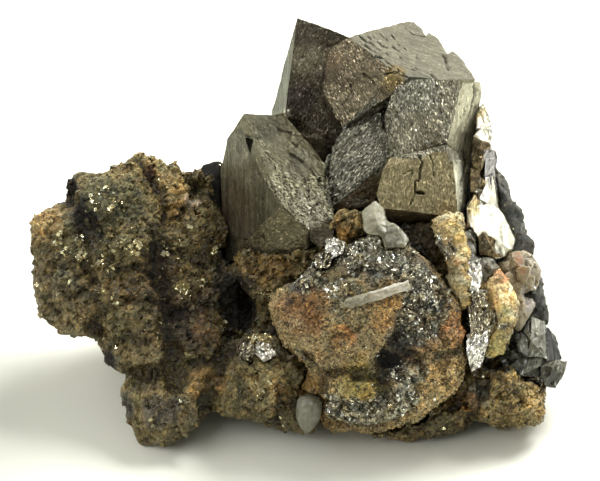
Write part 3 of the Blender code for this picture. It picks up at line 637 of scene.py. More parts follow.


# Arsenopyrite: blocky crystals with streaked, pitted and scaly faces

# Each look: colour, (scales, streaks, dullness), direction of its streaks in the drawing frame
# The colours are partly each face's tarnish and partly painted light and shade: the satin top face is tinted
# lighter where it faces the light, the dark face darker where it faces away.
LOOKS = {
    "plain": ((0.24, 0.23, 0.165), (0.5, 0.5, 0.5), (0, 1, 0)),
    "dark": ((0.085, 0.072, 0.05), (0.85, 0.3, 0.7), (0.5, 1, 0)),
    "sliver": ((0.26, 0.265, 0.21), (0.1, 0.9, 0.4), (-0.27, -0.96, 0)),
    "brown": ((0.215, 0.18, 0.12), (1.0, 0.3, 0.6), (1, -1, 0)),
    "diamond": ((0.26, 0.22, 0.15), (1.1, 0.3, 0.5), (1, -1, 0)),
    "satin": ((0.34, 0.32, 0.24), (0.3, 0.4, 0.6), (1, -0.8, 0)),
    "speckled": ((0.215, 0.203, 0.148), (1.0, 0.25, 0.4), (0.3, -1, 0)),
    "fluted": ((0.41, 0.39, 0.285), (0.3, 0.6, 0.4), (0.18, -1, 0)),
    "olive": ((0.32, 0.272, 0.152), (0.45, 0.25, 0.65), (0.3, 1, 0)),
    "sparkly": ((0.14, 0.135, 0.102), (1.0, 0.7, 0.4), (1, 0.9, 0)),
    "painted_shadow": ((0.16, 0.125, 0.08), (0.7, 0.2, 0.6), (1, 0.9, 0)),
    "smooth": ((0.255, 0.238, 0.157), (0.5, 0.5, 0.45), (1, -0.9, 0)),
    "shaded": ((0.16, 0.15, 0.10), (0.25, 1.0, 0.7), (0.15, 1, 0)),
    "lower": ((0.168, 0.148, 0.088), (0.5, 0.25, 0.7), (1, 0.5, 0)),
    "knob": ((0.065, 0.055, 0.034), (0.6, 0.2, 0.7), (1, 0, 0)),
    "glitter": ((0.33, 0.31, 0.21), (1.5, 0.4, 0.25), (1, -0.9, 0)),
    "fluted_back": ((0.27, 0.255, 0.18), (0.25, 1.0, 0.4), (0.18, -1, 0)),
}
# Looks that the faces on the far side take in turn
HIDDEN_LOOKS = ("plain", "speckled", "fluted_back", "smooth", "lower", "satin", "shaded")
# Outlines of the faces that the viewer sees; a later one lies over an earlier one
FACES = [
    ("dark", [(-0.4, 62.2), (1.3, 61.9), (7.9, 59.5), (4.8, 56.7), (4.8, 53.9), (3.6, 51.6), (6.6, 45.8),
        (4.8, 42.6), (2, 44.9), (-1, 45.3), (-1.9, 47.2), (-1.4, 50.1), (-1.3, 55.2), (-0.9, 59.2)]),
    ("sliver", [(-0.7, 59.9), (-1.3, 55.9), (-1.4, 50.1), (-1.7, 47.2), (-4.5, 47.5), (-3.6, 52.7),
        (-1.9, 57)]),
    ("brown", [(7.9, 59.3), (9.2, 57.3), (11.6, 55.4), (14.2, 53.1), (13.4, 50.1), (11.7, 48.7),
        (6.6, 45.8), (3.6, 51.3), (4.6, 53.9), (4.6, 56.7)]),
    ("diamond", [(3.5, 51.6), (5.6, 52.1), (7.9, 50.3), (11.1, 51), (11.8, 50.1), (10, 48.4), (6.6, 45.6)]),
    ("satin", [(7.9, 59.1), (10, 60.2), (13.7, 61.4), (16.2, 62.1), (18.3, 61.4), (19.5, 59.6),
        (21.5, 57.9), (24.1, 57), (26.7, 52.7), (22.8, 52.6), (16.9, 52.6), (14, 53.1), (11.6, 55.4),
        (9.2, 57.3)]),
    ("speckled", [(13.9, 52.1), (16.9, 52.6), (22.8, 52.6), (23.7, 52.3), (21.5, 42.2), (20.2, 42.3),
        (17.8, 41.2), (12.9, 41.6), (12.4, 46.6), (13.6, 50.1)]),
    ("fluted", [(23.7, 52.4), (27, 53), (27.3, 49.2), (25.8, 44.9), (25.6, 39.1), (24.7, 33.1),
        (23.7, 32.6), (22.8, 37.3), (21.5, 42.3)]),
    ("sparkly", [(6.6, 45.9), (11.3, 50.5), (12.1, 48.4), (12.6, 45.5), (13.1, 41.9), (12, 40),
        (11.6, 37.4), (8.4, 36.8), (4.9, 33.9), (3.9, 34.8), (4.2, 38.6), (4.5, 42.9)]),
    # painted shadow on the underside of the middle crystal
    ("painted_shadow", [(7.7, 36.2), (10.8, 39.1), (11.6, 38.8), (11.6, 36), (10, 34.1), (7.7, 34.8)]),
    ("olive", [(12.9, 41.2), (14.6, 41.6), (17.8, 40.6), (17.9, 42.3), (21.5, 42.3), (22.8, 37.3),
        (23.8, 32.5), (20.9, 33.8), (15.6, 33.8), (12.1, 34.4), (11.1, 36.7)]),
    ("smooth", [(-8.2, 48.1), (-1.9, 47.8), (-1, 45.5), (2.2, 44.9), (4.5, 42.3), (4.2, 34.9), (5.3, 33.9),
        (5.3, 32.5), (1.4, 30.9), (-1.9, 33.9), (-5.3, 39.1), (-6.4, 43), (-8.1, 45.5)]),
    ("glitter", [(-4.8, 38.3), (-2.5, 39.7), (0.4, 38.6), (4.2, 38.8), (4.2, 34.9), (5.3, 33.9),
        (5.3, 32.5), (1.4, 30.9), (-1.9, 33.9)]),
    ("shaded", [(-8.1, 45.5), (-6.4, 43), (-5.3, 39.1), (-1.9, 33.9), (-4.2, 34.2), (-8.2, 30.8),
        (-10.8, 27.9), (-12, 31), (-12, 36.8), (-11.3, 42.6), (-9.2, 45.8)]),
    ("lower", [(-4.2, 34.2), (-1.9, 33.9), (1.4, 30.9), (0.6, 28.7), (-1, 26.4), (-5.1, 25.6),
        (-9.7, 25.6), (-11.4, 27.3), (-8.2, 30.8)]),
    ("knob", [(1.4, 30.9), (3, 32.3), (5.3, 32.5), (5.1, 29.3), (3.6, 27.3), (1.3, 27.9)]),
    # painted shadow under the foot of the crystal on the right
    ("painted_shadow", [(12.1, 34.5), (15.6, 33.8), (20.9, 33.8), (23.8, 32.5), (20.6, 31.3), (14.9, 30.5),
        (12, 31.9)]),
]
# Slow changes of colour over those faces; some are painted light and shade, as noted
FACE_SHADES = [
    ((1.6, 55.9), 3.2, (0.2, 0.18, 0.125), 0.85), ((0.9, 60.2), 2, (0.12, 0.105, 0.08), 0.7),
    ((-8.8, 42.6), 3.6, (0.26, 0.255, 0.19), 0.85), ((-8.8, 33.6), 4.5, (0.165, 0.13, 0.085), 0.9),
    ((-10.3, 29.9), 2.5, (0.05, 0.045, 0.03), 0.8), ((-6.5, 38.3), 1.8, (0.22, 0.2, 0.14), 0.6),
    ((2.6, 33.6), 2.4, (0.42, 0.4, 0.3), 0.7), ((0.4, 34.7), 2, (0.4, 0.38, 0.28), 0.6),
    ((-1.3, 47.8), 0.5, (0.8, 0.78, 0.62), 0.9), ((-0.1, 45.8), 0.55, (0.75, 0.72, 0.56), 0.9),
    ((1.4, 44.8), 0.35, (0.7, 0.66, 0.5), 0.9), ((4.8, 54.1), 1.6, (0.13, 0.105, 0.075), 0.7),
    # the light patch at (1.9, 43.6) is painted light that lifts the dark wedge between two crystals
    ((1.9, 43.6), 3.2, (0.42, 0.38, 0.3), 0.9), ((5.1, 42.6), 2, (0.15, 0.14, 0.105), 0.6),
    ((-4.2, 46.2), 3, (0.17, 0.165, 0.125), 0.7), ((0.4, 40.4), 2.5, (0.2, 0.19, 0.14), 0.6),
    ((17.5, 51), 3.4, (0.24, 0.24, 0.195), 0.6), ((16.3, 43.3), 2.5, (0.38, 0.35, 0.26), 0.6),
    ((7.9, 34.8), 1.4, (0.34, 0.33, 0.28), 0.5), ((14.3, 53.6), 1.5, (0.3, 0.22, 0.09), 0.7),
    ((13.1, 51.8), 1.3, (0.3, 0.23, 0.1), 0.6), ((16, 35.1), 1.8, (0.22, 0.18, 0.09), 0.7),
    ((13.7, 40), 1.2, (0.4, 0.33, 0.17), 0.6), ((21.5, 34.2), 1.8, (0.24, 0.18, 0.09), 0.6),
    # the dark patch at (16.6, 32.2) is painted shadow under a crystal's foot; the two patches held to the
    # fluted face, here and on the next line, are painted sheen that lifts a side shaded by its neighbours
    ((16.6, 32.2), 2.6, (0.1, 0.075, 0.045), 0.9), ((23.8, 36.8), 4.8, (1, 0.98, 0.76), 0.95, "fluted"),
    ((25, 42.6), 2.8, (0.62, 0.6, 0.46), 0.8, "fluted"), ((19.2, 45.5), 2.2, (0.24, 0.21, 0.15), 0.5),
    ((9.1, 42.6), 2, (0.2, 0.19, 0.15), 0.5), ((5.5, 55.6), 1.8, (0.3, 0.22, 0.14), 0.5),
    ((6.9, 53.4), 1.8, (0.16, 0.13, 0.09), 0.6), ((0.4, 50.5), 2.2, (0.06, 0.05, 0.045), 0.7),
    ((3.6, 46.9), 2, (0.1, 0.085, 0.06), 0.6),
]
# Long pits: place, length, width, slope in degrees
PITS = [
    ((12.3, 59.3), 1.45, 0.42, -55), ((13.9, 59.1), 1.305, 0.392, -60), ((10.8, 58), 1.74, 0.504, -40),
    ((12, 58), 1.885, 0.476, -45), ((12.7, 57.6), 1.16, 0.42, -40), ((14.2, 57.3), 2.03, 0.476, -38),
    ((9.7, 58.5), 2.175, 0.56, -35), ((10.3, 57.5), 2.175, 0.504, -38), ((11.6, 56), 1.595, 0.588, -30),
    ((12.1, 56), 1.305, 0.476, -35), ((13, 55.2), 1.45, 0.476, -45), ((13.6, 54.7), 1.16, 0.448, -40),
    ((11.3, 56.7), 1.015, 0.364, -40), ((14.9, 55.9), 0.725, 0.308, -45), ((15.6, 57.2), 0.87, 0.28, -40),
    ((21.5, 55.6), 1.74, 0.588, -80), ((21.8, 54.4), 1.015, 0.56, -70), ((19.6, 53.1), 1.885, 0.476, -50),
    ((16.6, 54.1), 1.305, 0.336, -20), ((15.2, 53.6), 1.74, 0.392, -40), ((14.3, 53.6), 1.16, 0.364, 30),
    ((17.7, 36.4), 1.595, 0.7, -5), ((9.1, 59.1), 1.16, 0.42, -35), ((10, 57.5), 1.305, 0.364, -40),
    ((10.7, 57), 1.16, 0.336, -35), ((12.1, 55.2), 1.015, 0.364, -35), ((13.3, 54.3), 1.015, 0.364, -30),
    ((14.6, 54), 0.87, 0.336, -60), ((17.2, 54.3), 0.725, 0.28, -45), ((17.3, 56), 0.58, 0.252, -40),
    ((10.5, 58.8), 1.305, 0.42, -40), ((11.7, 57.2), 1.305, 0.392, -35), ((10, 56.9), 1.015, 0.364, -30),
    ((12.9, 56.5), 1.015, 0.336, -45), ((11.1, 55.9), 1.16, 0.392, -30), ((14.7, 57.9), 0.87, 0.28, -50),
    ((11.1, 58.9), 0.87, 0.308, -45), ((13, 58.6), 0.725, 0.28, -50), ((21.2, 56.2), 1.015, 0.42, -60),
]
# Cracks and small steps that run over the faces: width, depth, path
CRACKS = [
    (0.22, 0.3, [(17.6, 41.6), (17.9, 40.7), (17.6, 39), (17.5, 38.1), (17, 38), (16.9, 36.5)]),
    (0.16, 0.2, [(15.3, 39), (16.5, 39.6), (16.5, 38.7)]),
    (0.16, 0.2, [(19.1, 41.9), (19.6, 40.4), (19.5, 38.8)]), (0.15, 0.18, [(16.9, 36.2), (16.2, 34.5)]),
    (0.2, 0.25, [(9.5, 53.7), (11.6, 51.6), (13.3, 50.1), (12.6, 48.8)]),
    (0.15, 0.18, [(7.7, 52.4), (7.9, 51), (6.6, 49.2)]),
    (0.3, 0.4, [(12.6, 49), (12.3, 47.2), (12.4, 45.8)]), (0.26, 0.3, [(-0.7, 43.5), (0.1, 43.2)]),
    (0.26, 0.3, [(-1, 42), (-0.3, 41.7), (0.9, 40.9)]),
    (0.3, 0.34, [(-2.7, 45.6), (-1.6, 45.3), (-0.7, 45.1)]),
    (0.2, 0.25, [(-7.5, 44.5), (-6.4, 44.5), (-5.2, 44.3)]),
    (0.2, 0.22, [(2.2, 39.4), (3, 38.3), (3.5, 37.1)]), (0.18, 0.22, [(-8.1, 27.7), (-6.8, 27.4)]),
    (0.14, 0.16, [(-5.6, 30.2), (-4.5, 29.6)]),
    (0.12, 0.12, [(15.7, 60.4), (16.6, 59.5), (17.6, 59.2), (18.6, 59.1)]),
    (0.18, 0.22, [(12.7, 53.4), (14.3, 53.9), (15.2, 53), (16.3, 52.9)]),
    (0.26, 0.35, [(4.8, 42.6), (4.3, 39.7), (4, 36.8)]),
    (0.16, 0.2, [(25.6, 52), (25.3, 49.1), (24.7, 46.9)]),
    (0.16, 0.2, [(24.4, 44.8), (24.1, 42.6), (24.4, 40.4), (23.8, 38.3)]),
]
# Gashes that are filled: place, radius, depth, and three places of the face around them
GASHES = [
    ((9.2, 52.9), 1.9, 4.5, ((7.1, 54.7), (10.3, 55.3), (6.2, 51.8))),
    ((-8.2, 29.9), 1.7, 2.2, ((-8.8, 30.5), (-7.1, 30.5), (-7.9, 29.2))),
]
# Tiny pits in rows down the fluted right side: how many, and the top, bottom and spread of the rows
SIDE_PITS = 46
SIDE_PIT_PLACE = ((25, 51.6), (23.8, 35.4), 1.5)
# Where the big crystals are cut finely: place, half width and height, longest edge in millimetres
FINE_ZONES = [
    ((14.9, 56.3), (6, 4.5), 0.25), ((17.6, 38.3), (3, 4), 0.25), ((-1, 43.2), (3.2, 3.6), 0.25),
    ((12.3, 57), (4.2, 3.6), 0.18),
]
FRONT_EDGE = 0.56
FRONT_DEPTH = -5.0                      # the front of the big crystals reaches back to here
FAR_EDGE = 0.9


def flat_faces(places, tris, bend):
    """Number of the flat face that each triangle belongs to."""
    normal = unit(area_normals(places, tris))
    key = edge_keys(edge_ends(tris), len(places)).ravel()
    order = np.argsort(key, kind="stable")
    same = np.flatnonzero(key[order][1:] == key[order][:-1])
    left, right = order[same] // 3, order[same + 1] // 3
    flat = np.einsum("ij,ij->i", normal[left], normal[right]) > math.cos(math.radians(bend))
    left, right = left[flat], right[flat]
    face = np.arange(len(tris))
    while True:
        low = np.minimum(face[left], face[right])
        before = face.copy()
        np.minimum.at(face, left, low)
        np.minimum.at(face, right, low)
        face = face[face]
        if (face == before).all():
            return face


def inside(flat, outline):
    """Which places of the drawing plane lie inside an outline."""
    within = np.zeros(len(flat), bool)
    x, y = flat.T
    for (ax, ay), (bx, by) in zip(outline, outline[1:] + outline[:1]):
        crosses = (ay > y) != (by > y)
        reach = ax + (y - ay) / np.where(by == ay, 1e-9, by - ay) * (bx - ax)
        within ^= crosses & (x < reach)
    return within


def look_numbers(middle, facing, face, area, outlines, names, default):
    """Look of each triangle: the outline it lies in, or the main look of its flat face."""
    chosen = np.full(len(middle), -1)
    for look, outline in outlines:
        chosen[inside(middle[:, :2], outline) & facing] = names.index(look)
    shares = np.zeros((face.max() + 1, len(names)))
    known = chosen >= 0
    np.add.at(shares, (face[known], chosen[known]), area[known])
    total = np.bincount(face, area)
    main = shares.argmax(1)
    most = shares.max(1)
    whole = most > 0.72 * np.maximum(total, 1e-12)
    chosen = np.where(whole[face], main[face], chosen)
    chosen = np.where((chosen < 0) & (most > 0)[face], main[face], chosen)
    spare = np.array([names.index(name) for name in default])
    return np.where(chosen < 0, spare[(face * 7 + face // 3) % len(spare)], chosen)


def groove_mask(here, path, width):
    """1 in the middle of a line drawn over the front, 0 beside it."""
    best = np.full(len(here), 99.0)
    for a, b in zip(np.array(path[:-1]), np.array(path[1:])):
        away = here[:, :2] - a
        along = np.clip((away @ (b - a)) / max((b - a) @ (b - a), 1e-9), 0, 1)
        best = np.minimum(best, np.linalg.norm(away - along[:, None] * (b - a), axis=1))
    return 1 - ease(best, 0.25 * width, width)


def pit_mask(here, place, length, width, slope):
    """1 inside a long pit drawn over the front, 0 beside it."""
    turn = math.radians(slope)
    away = here[:, :2] - np.array(place)
    along = away @ np.array([math.cos(turn), math.sin(turn)])
    across = away @ np.array([-math.sin(turn), math.cos(turn)])
    return 1 - ease(np.hypot(along / (length / 2), across / (width / 2)), 0.45, 1.0)


def finish_facets(node, slot, material, looks, outlines, default, shades, longest, relief=1.0,
                  carve=None, bend=9.0, heal=None):
    """Replace a flat-faced solid by a finely cut copy with streaks, scales, chipped edges painted lighter and
    darker along their length, and carving whose pits and cracks get painted shade.
    """
    places, tris = arrays(frame["nodes"][node].data)
    face = flat_faces(places, tris, bend)
    tree = tree_of(places, tris)
    places, tris, face = split_long_edges(places, tris, face, longest)
    if heal:
        places = heal(places, tree)
    here = drawn(places)
    normals = point_normals(places, tris)
    face = np.unique(face, return_inverse=True)[1].ravel()
    cross = area_normals(places, tris)
    face_normal = np.zeros((face.max() + 1, 3))
    np.add.at(face_normal, face, cross)
    face_normal = unit(face_normal)
    names = list(looks)
    look = look_numbers(here[tris].mean(axis=1), (face_normal @ NEAR)[face] > 0.04, face,
                        np.linalg.norm(cross, axis=1), outlines, names, default)

    # directions along and across the streaks, on each triangle's flat face
    along = np.array([np.array(looks[name][2]) @ TURN for name in names])[look]
    normal = face_normal[face]
    along = along - normal * np.einsum("ij,ij->i", along, normal)[:, None]
    weak = np.linalg.norm(along, axis=1) < 0.05
    along[weak] = np.cross(normal[weak], RIGHT)
    along = unit(along)
    across = np.cross(normal, along)
    point = tris.ravel()
    spots = places[point] / MM
    grain = np.stack([np.einsum("ij,ij->i", spots, np.repeat(along, 3, axis=0)),
                      np.einsum("ij,ij->i", spots, np.repeat(across, 3, axis=0)),
                      np.repeat(face, 3) * 1.7], axis=1)
    tint = np.array([looks[name][0] for name in names])[np.repeat(look, 3)]
    finishes = np.array([looks[name][1] for name in names])[np.repeat(look, 3)]
    count = np.maximum(np.bincount(point, minlength=len(places)), 1)

    def averaged(values):
        return np.bincount(point, values, len(places)) / count

    on_edge = between_faces(point, np.repeat(face, 3), len(places))
    scaly, streaky = averaged(finishes[:, 0]), averaged(finishes[:, 1])
    streak = averaged(grain[:, 1])
    lift = relief * scaly * crystal_facets(here, 0.9, 0.20, 3)
    lift += relief * 0.05 * streaky * ~on_edge * smooth_noise(
        np.stack([streak * 2.2, here[:, 2] * 0.1, here[:, 1] * 0.12], axis=1), 7)
    lift += relief * 0.06 * layered(here, 2.2, 3, 9)
    lift -= relief * on_edge * 0.14 * np.maximum(0.15 + smooth_noise(here / 0.8, 12), 0)
    dark = np.zeros(len(places))
    if carve:
        depth, dark = carve(here, normals @ NEAR > 0.12)
        lift -= depth
    moved = places + normals * lift[:, None] * MM

    wander = 0.9 * layered(here, 2.4, 3, 21)
    for place, radius, colour, strength, *only in shades:
        share = strength * zone_weight(here, in_front(tree, place), radius, wander)[point]
        if only:
            share *= np.repeat(look == names.index(only[0]), 3)
        tint = blend(tint, colour, share)
    # edges between flat faces are painted lighter in most places and darker in some, along noise
    edge_tone = 0.4 + smooth_noise(here / 1.7, 44) + 0.5 * smooth_noise(here / 0.4, 45)
    edge_tone = on_edge * np.clip(edge_tone, -0.5, 1.2)
    # the carving's dark mask darkens the pits and cracks: painted shade
    tint = tint * ((1 - 0.85 * dark) * (1 + 0.7 * edge_tone))[point, None]

    thing = make_object(node + "_skin", moved, tris, smooth=True)
    set_colour(thing, tint, "CORNER")
    set_corner_vectors(thing, "grain", grain)
    set_corner_vectors(thing, "finish", finishes)
    mark_creases(thing, tris, face)
    ride(thing, material, slot, node)
    return moved, tris, here, np.zeros_like(here), tree


def mark_creases(thing, tris, face):
    """Sharp edges wherever two flat faces meet."""
    mesh = thing.data
    ends = np.empty(len(mesh.edges) * 2, np.int32)
    mesh.edges.foreach_get("vertices", ends)
    size = int(tris.max()) + 1
    edge_key = edge_keys(ends.reshape(-1, 2), size)
    order = np.argsort(edge_key)
    at = order[np.searchsorted(edge_key[order], edge_keys(edge_ends(tris), size).ravel())]
    sharp = mesh.attributes.new("sharp_edge", "BOOLEAN", "EDGE")
    sharp.data.foreach_set("value", between_faces(at, np.repeat(face, 3), len(mesh.edges)))


def carve_arsenopyrite(here, facing):
    """Depth of the pits and cracks on the big crystals, and the painted shade in them."""
    front = np.flatnonzero(facing)
    near = here[front]
    total = np.zeros(len(front))
    shade = np.zeros(len(front))

    # deep is how far a mark sinks; the shade mask is the painted shade laid into it
    def cut(mask, deep, pit_shade):
        np.maximum(total, deep * mask, out=total)
        np.maximum(shade, pit_shade * mask, out=shade)

    for place, length, width, slope in PITS:
        cut(pit_mask(near, place, length, width, slope), 0.34, 1.0)
    top, bottom, spread = SIDE_PIT_PLACE
    rng = np.random.default_rng(SEED + 4)
    for _ in range(SIDE_PITS):
        share = rng.random()
        place = np.array(top) * (1 - share) + np.array(bottom) * share + [spread * rng.normal() * 0.6, 0]
        cut(pit_mask(near, place, 0.35 + 0.6 * rng.random(), 0.3, 100 + 20 * rng.normal()), 0.18, 0.8)
    near = shaken(near, 0.7, 0.12, 30)
    for width, deep, path in CRACKS:
        cut(groove_mask(near, path, width), deep, 0.9)
    depth = np.zeros(len(here))
    dark = np.zeros(len(here))
    depth[front] = total
    dark[front] = shade
    return depth, dark


def fill_gashes(places, tree):
    """Raise the gashes between the crystals to a shallow step."""
    here = drawn(places)
    for middle, radius, reach, around in GASHES:
        close = np.linalg.norm(here[:, :2] - np.array(middle), axis=1) < radius
        a, b, c = (in_front(tree, pair) for pair in around)
        normal = np.cross(b - a, c - a)
        level = a[2] - (here[:, :2] - a[:2]) @ normal[:2] / normal[2]
        sunk = close & (here[:, 2] < level - 0.1) & (here[:, 2] > level - reach)
        here[sunk, 2] = level[sunk] - 0.12
    return (FOOT + here @ TURN) * MM


def front_edges(middle):
    """Longest edge of the big crystals at each place: short on the front, shortest at pits and cracks."""
    here = drawn(middle)
    length = np.full(len(here), FRONT_EDGE)
    for place, reach, longest in FINE_ZONES:
        length[np.linalg.norm((here[:, :2] - place) / reach, axis=1) < 1] = longest
    return np.where(here[:, 2] > FRONT_DEPTH, length, FAR_EDGE)


def arsenopyrite():
    """The blocky grey crystals."""
    finish_facets("arsenopyrite_cluster", "arsenopyrite", crystal_material("arsenopyrite_faces"),
                  LOOKS, FACES, HIDDEN_LOOKS, FACE_SHADES, front_edges, 1.0, carve_arsenopyrite,
                  heal=fill_gashes)


# Siderite, ochre, slab and wall rock: lumpy skins of small crystals

TAN = (0.255, 0.195, 0.095)
OLIVE = (0.15, 0.122, 0.053)
DEEP_OLIVE = (0.082, 0.076, 0.036)
HONEY = (0.42, 0.28, 0.10)
AMBER = (0.34, 0.20, 0.06)
RUST = (0.36, 0.14, 0.04)
UMBER = (0.07, 0.05, 0.025)
# black of the dark rock, and painted shade where it fills holes and cavities
BLACK_AND_HOLLOW_SHADE = (0.018, 0.016, 0.014)
CHARCOAL = (0.06, 0.058, 0.048)
GREY = (0.275, 0.265, 0.21)
PALE = (0.42, 0.36, 0.22)

# Patches of colour: place, radius, colour, strength; a place without a depth takes the skin's
MATRIX_SHADES = [
    ((-28.4, 33.2), 6.5, DEEP_OLIVE, 0.9), ((-24.4, 34.7), 4, DEEP_OLIVE, 0.7),
    ((-24.8, 40.7), 3, (0.27, 0.205, 0.09), 0.8), ((-21.9, 41.2), 2.2, (0.35, 0.275, 0.125), 0.7),
    ((-19.1, 40.4), 2.4, (0.36, 0.285, 0.13), 0.8), ((-19.1, 37.5), 2.8, (0.36, 0.285, 0.13), 0.8),
    ((-16, 38), 3, (0.28, 0.2, 0.08), 0.8), ((-17.6, 34.7), 3, AMBER, 0.6),
    # the small pale pink patch at (-14, 35.8) is a painted glint
    ((-14, 35.8), 1.3, (0.62, 0.5, 0.4), 0.8), ((-15.5, 33.5), 1.6, UMBER, 0.7),
    ((-21.7, 39.7), 1.1, (0.12, 0.04, 0.015), 0.9), ((-20.5, 37.4), 1.2, (0.12, 0.045, 0.015), 0.9),
    ((-33.1, 36.5), 2, BLACK_AND_HOLLOW_SHADE, 1), ((-31.9, 34.2), 2, BLACK_AND_HOLLOW_SHADE, 1), ((-30.8, 32.5), 1.6, BLACK_AND_HOLLOW_SHADE, 0.9),
    ((-36.4, 33.2), 3.6, (0.29, 0.2, 0.085), 0.8), ((-34.5, 34.2), 2.5, TAN, 0.8),
    ((-38.1, 31), 2, HONEY, 0.5), ((-34.2, 27.4), 4.5, OLIVE, 0.7),
    ((-33.9, 22.4), 2.4, (0.13, 0.13, 0.085), 0.8), ((-36.4, 24.5), 3.4, TAN, 0.45),
    ((-32.8, 18.1), 5, TAN, 0.65), ((-29.2, 22.4), 3, TAN, 0.6),
    ((-25.6, 22.1), 2, (0.19, 0.12, 0.05), 0.6), ((-24.8, 28.9), 3, OLIVE, 0.7),
    # the dark patches from (-21, 22) to (-15, 16) on this line and the next two darken the cavities between
    # the lumps: painted shade
    ((-19.8, 30.3), 3, OLIVE, 0.7), ((-16.9, 20.9), 5.5, UMBER, 0.95), ((-19.8, 24.5), 3.6, UMBER, 0.85),
    ((-14.7, 15.9), 4, UMBER, 0.95), ((-15.5, 18.8), 3, BLACK_AND_HOLLOW_SHADE, 0.7), ((-21.2, 22.4), 3, UMBER, 0.75),
    ((-18.1, 26.4), 2.2, UMBER, 0.8), ((-19.1, 16.6), 2, BLACK_AND_HOLLOW_SHADE, 0.7), ((-29.6, 29.3), 1.6, UMBER, 0.7),
    ((-30.6, 20.9), 2, UMBER, 0.6), ((-16.6, 22.4), 2.2, (0.17, 0.155, 0.05), 0.7),
    ((-14.7, 25.3), 2.5, OLIVE, 0.8), ((-12.6, 17.3), 2.6, (0.13, 0.08, 0.035), 0.7),
    # the black patches at (-9, 23.1), (-8.2, 18.8) and (-10.4, 20.9) fill the deep hole between the lobes:
    # painted shade
    ((-11.8, 28.2), 3, UMBER, 0.8), ((-9, 23.1), 4, BLACK_AND_HOLLOW_SHADE, 0.95), ((-8.2, 18.8), 3, BLACK_AND_HOLLOW_SHADE, 0.95),
    ((-10.4, 20.9), 2, BLACK_AND_HOLLOW_SHADE, 0.8), ((-26.3, 14.4), 3.5, OLIVE, 0.7), ((-21.2, 13.7), 3.6, TAN, 0.6),
    ((-27.3, 12), 2, BLACK_AND_HOLLOW_SHADE, 0.95), ((-20.9, 7.2), 5.5, (0.25, 0.205, 0.088), 0.9),
    ((-15.5, 4.8), 3, PALE, 0.55), ((-21.2, 9.7), 2.6, TAN, 0.7),
    ((-19.5, 5.3), 3, (0.1, 0.085, 0.065), 0.85), ((-24.7, 5.8), 2, CHARCOAL, 0.9),
    ((-12.6, 8.7), 3.2, AMBER, 0.8), ((-21.2, 10.5), 1.6, UMBER, 0.8), ((-9, 13.7), 3, UMBER, 0.8),
    ((-5.1, 14), 3.4, BLACK_AND_HOLLOW_SHADE, 0.8), ((-5.1, 8.2), 4.4, (0.245, 0.2, 0.09), 0.85),
    ((-6.8, 5.8), 3, OLIVE, 0.7), ((-1.7, 6.5), 2.5, AMBER, 0.6), ((-1, 3.6), 2.5, OLIVE, 0.8),
    ((-4.6, 26.4), 3.5, AMBER, 0.75), ((-1, 27.4), 3, AMBER, 0.7), ((0.4, 26.4), 2, OLIVE, 0.7),
    ((6.9, 31.3), 2, AMBER, 0.8), ((5.5, 32.2), 1.8, HONEY, 0.8), ((14.9, 28.9), 4, CHARCOAL, 0.85),
    ((18.5, 29.6), 3, (0.13, 0.1, 0.06), 0.8), ((12, 30.3), 3, GREY, 0.6),
    ((21.5, 28.4), 1.8, CHARCOAL, 0.9), ((32.2, 7.2), 6.5, (0.32, 0.24, 0.09), 0.85),
    ((35.8, 6.5), 3, HONEY, 0.7), ((31, 3.9), 3, OLIVE, 0.6), ((34.4, 10), 2.4, (0.42, 0.31, 0.11), 0.7),
    # the black patch at (28.3, 12.1) fills a hole in the right lobe: painted shade
    ((26.1, 7.7), 2.2, GREY, 0.7), ((28.3, 12.1), 2.2, BLACK_AND_HOLLOW_SHADE, 0.95), ((24.4, 6.2), 1.6, RUST, 0.6),
    ((32.2, 10.5), 2.5, TAN, 0.6), ((29.3, 9.4), 2, UMBER, 0.6), ((20.6, 2.9), 5, OLIVE, 0.8),
    ((14.9, 1.9), 4, TAN, 0.7), ((7.7, 2.2), 3, OLIVE, 0.7), ((25, 4.3), 2.5, HONEY, 0.5),
]
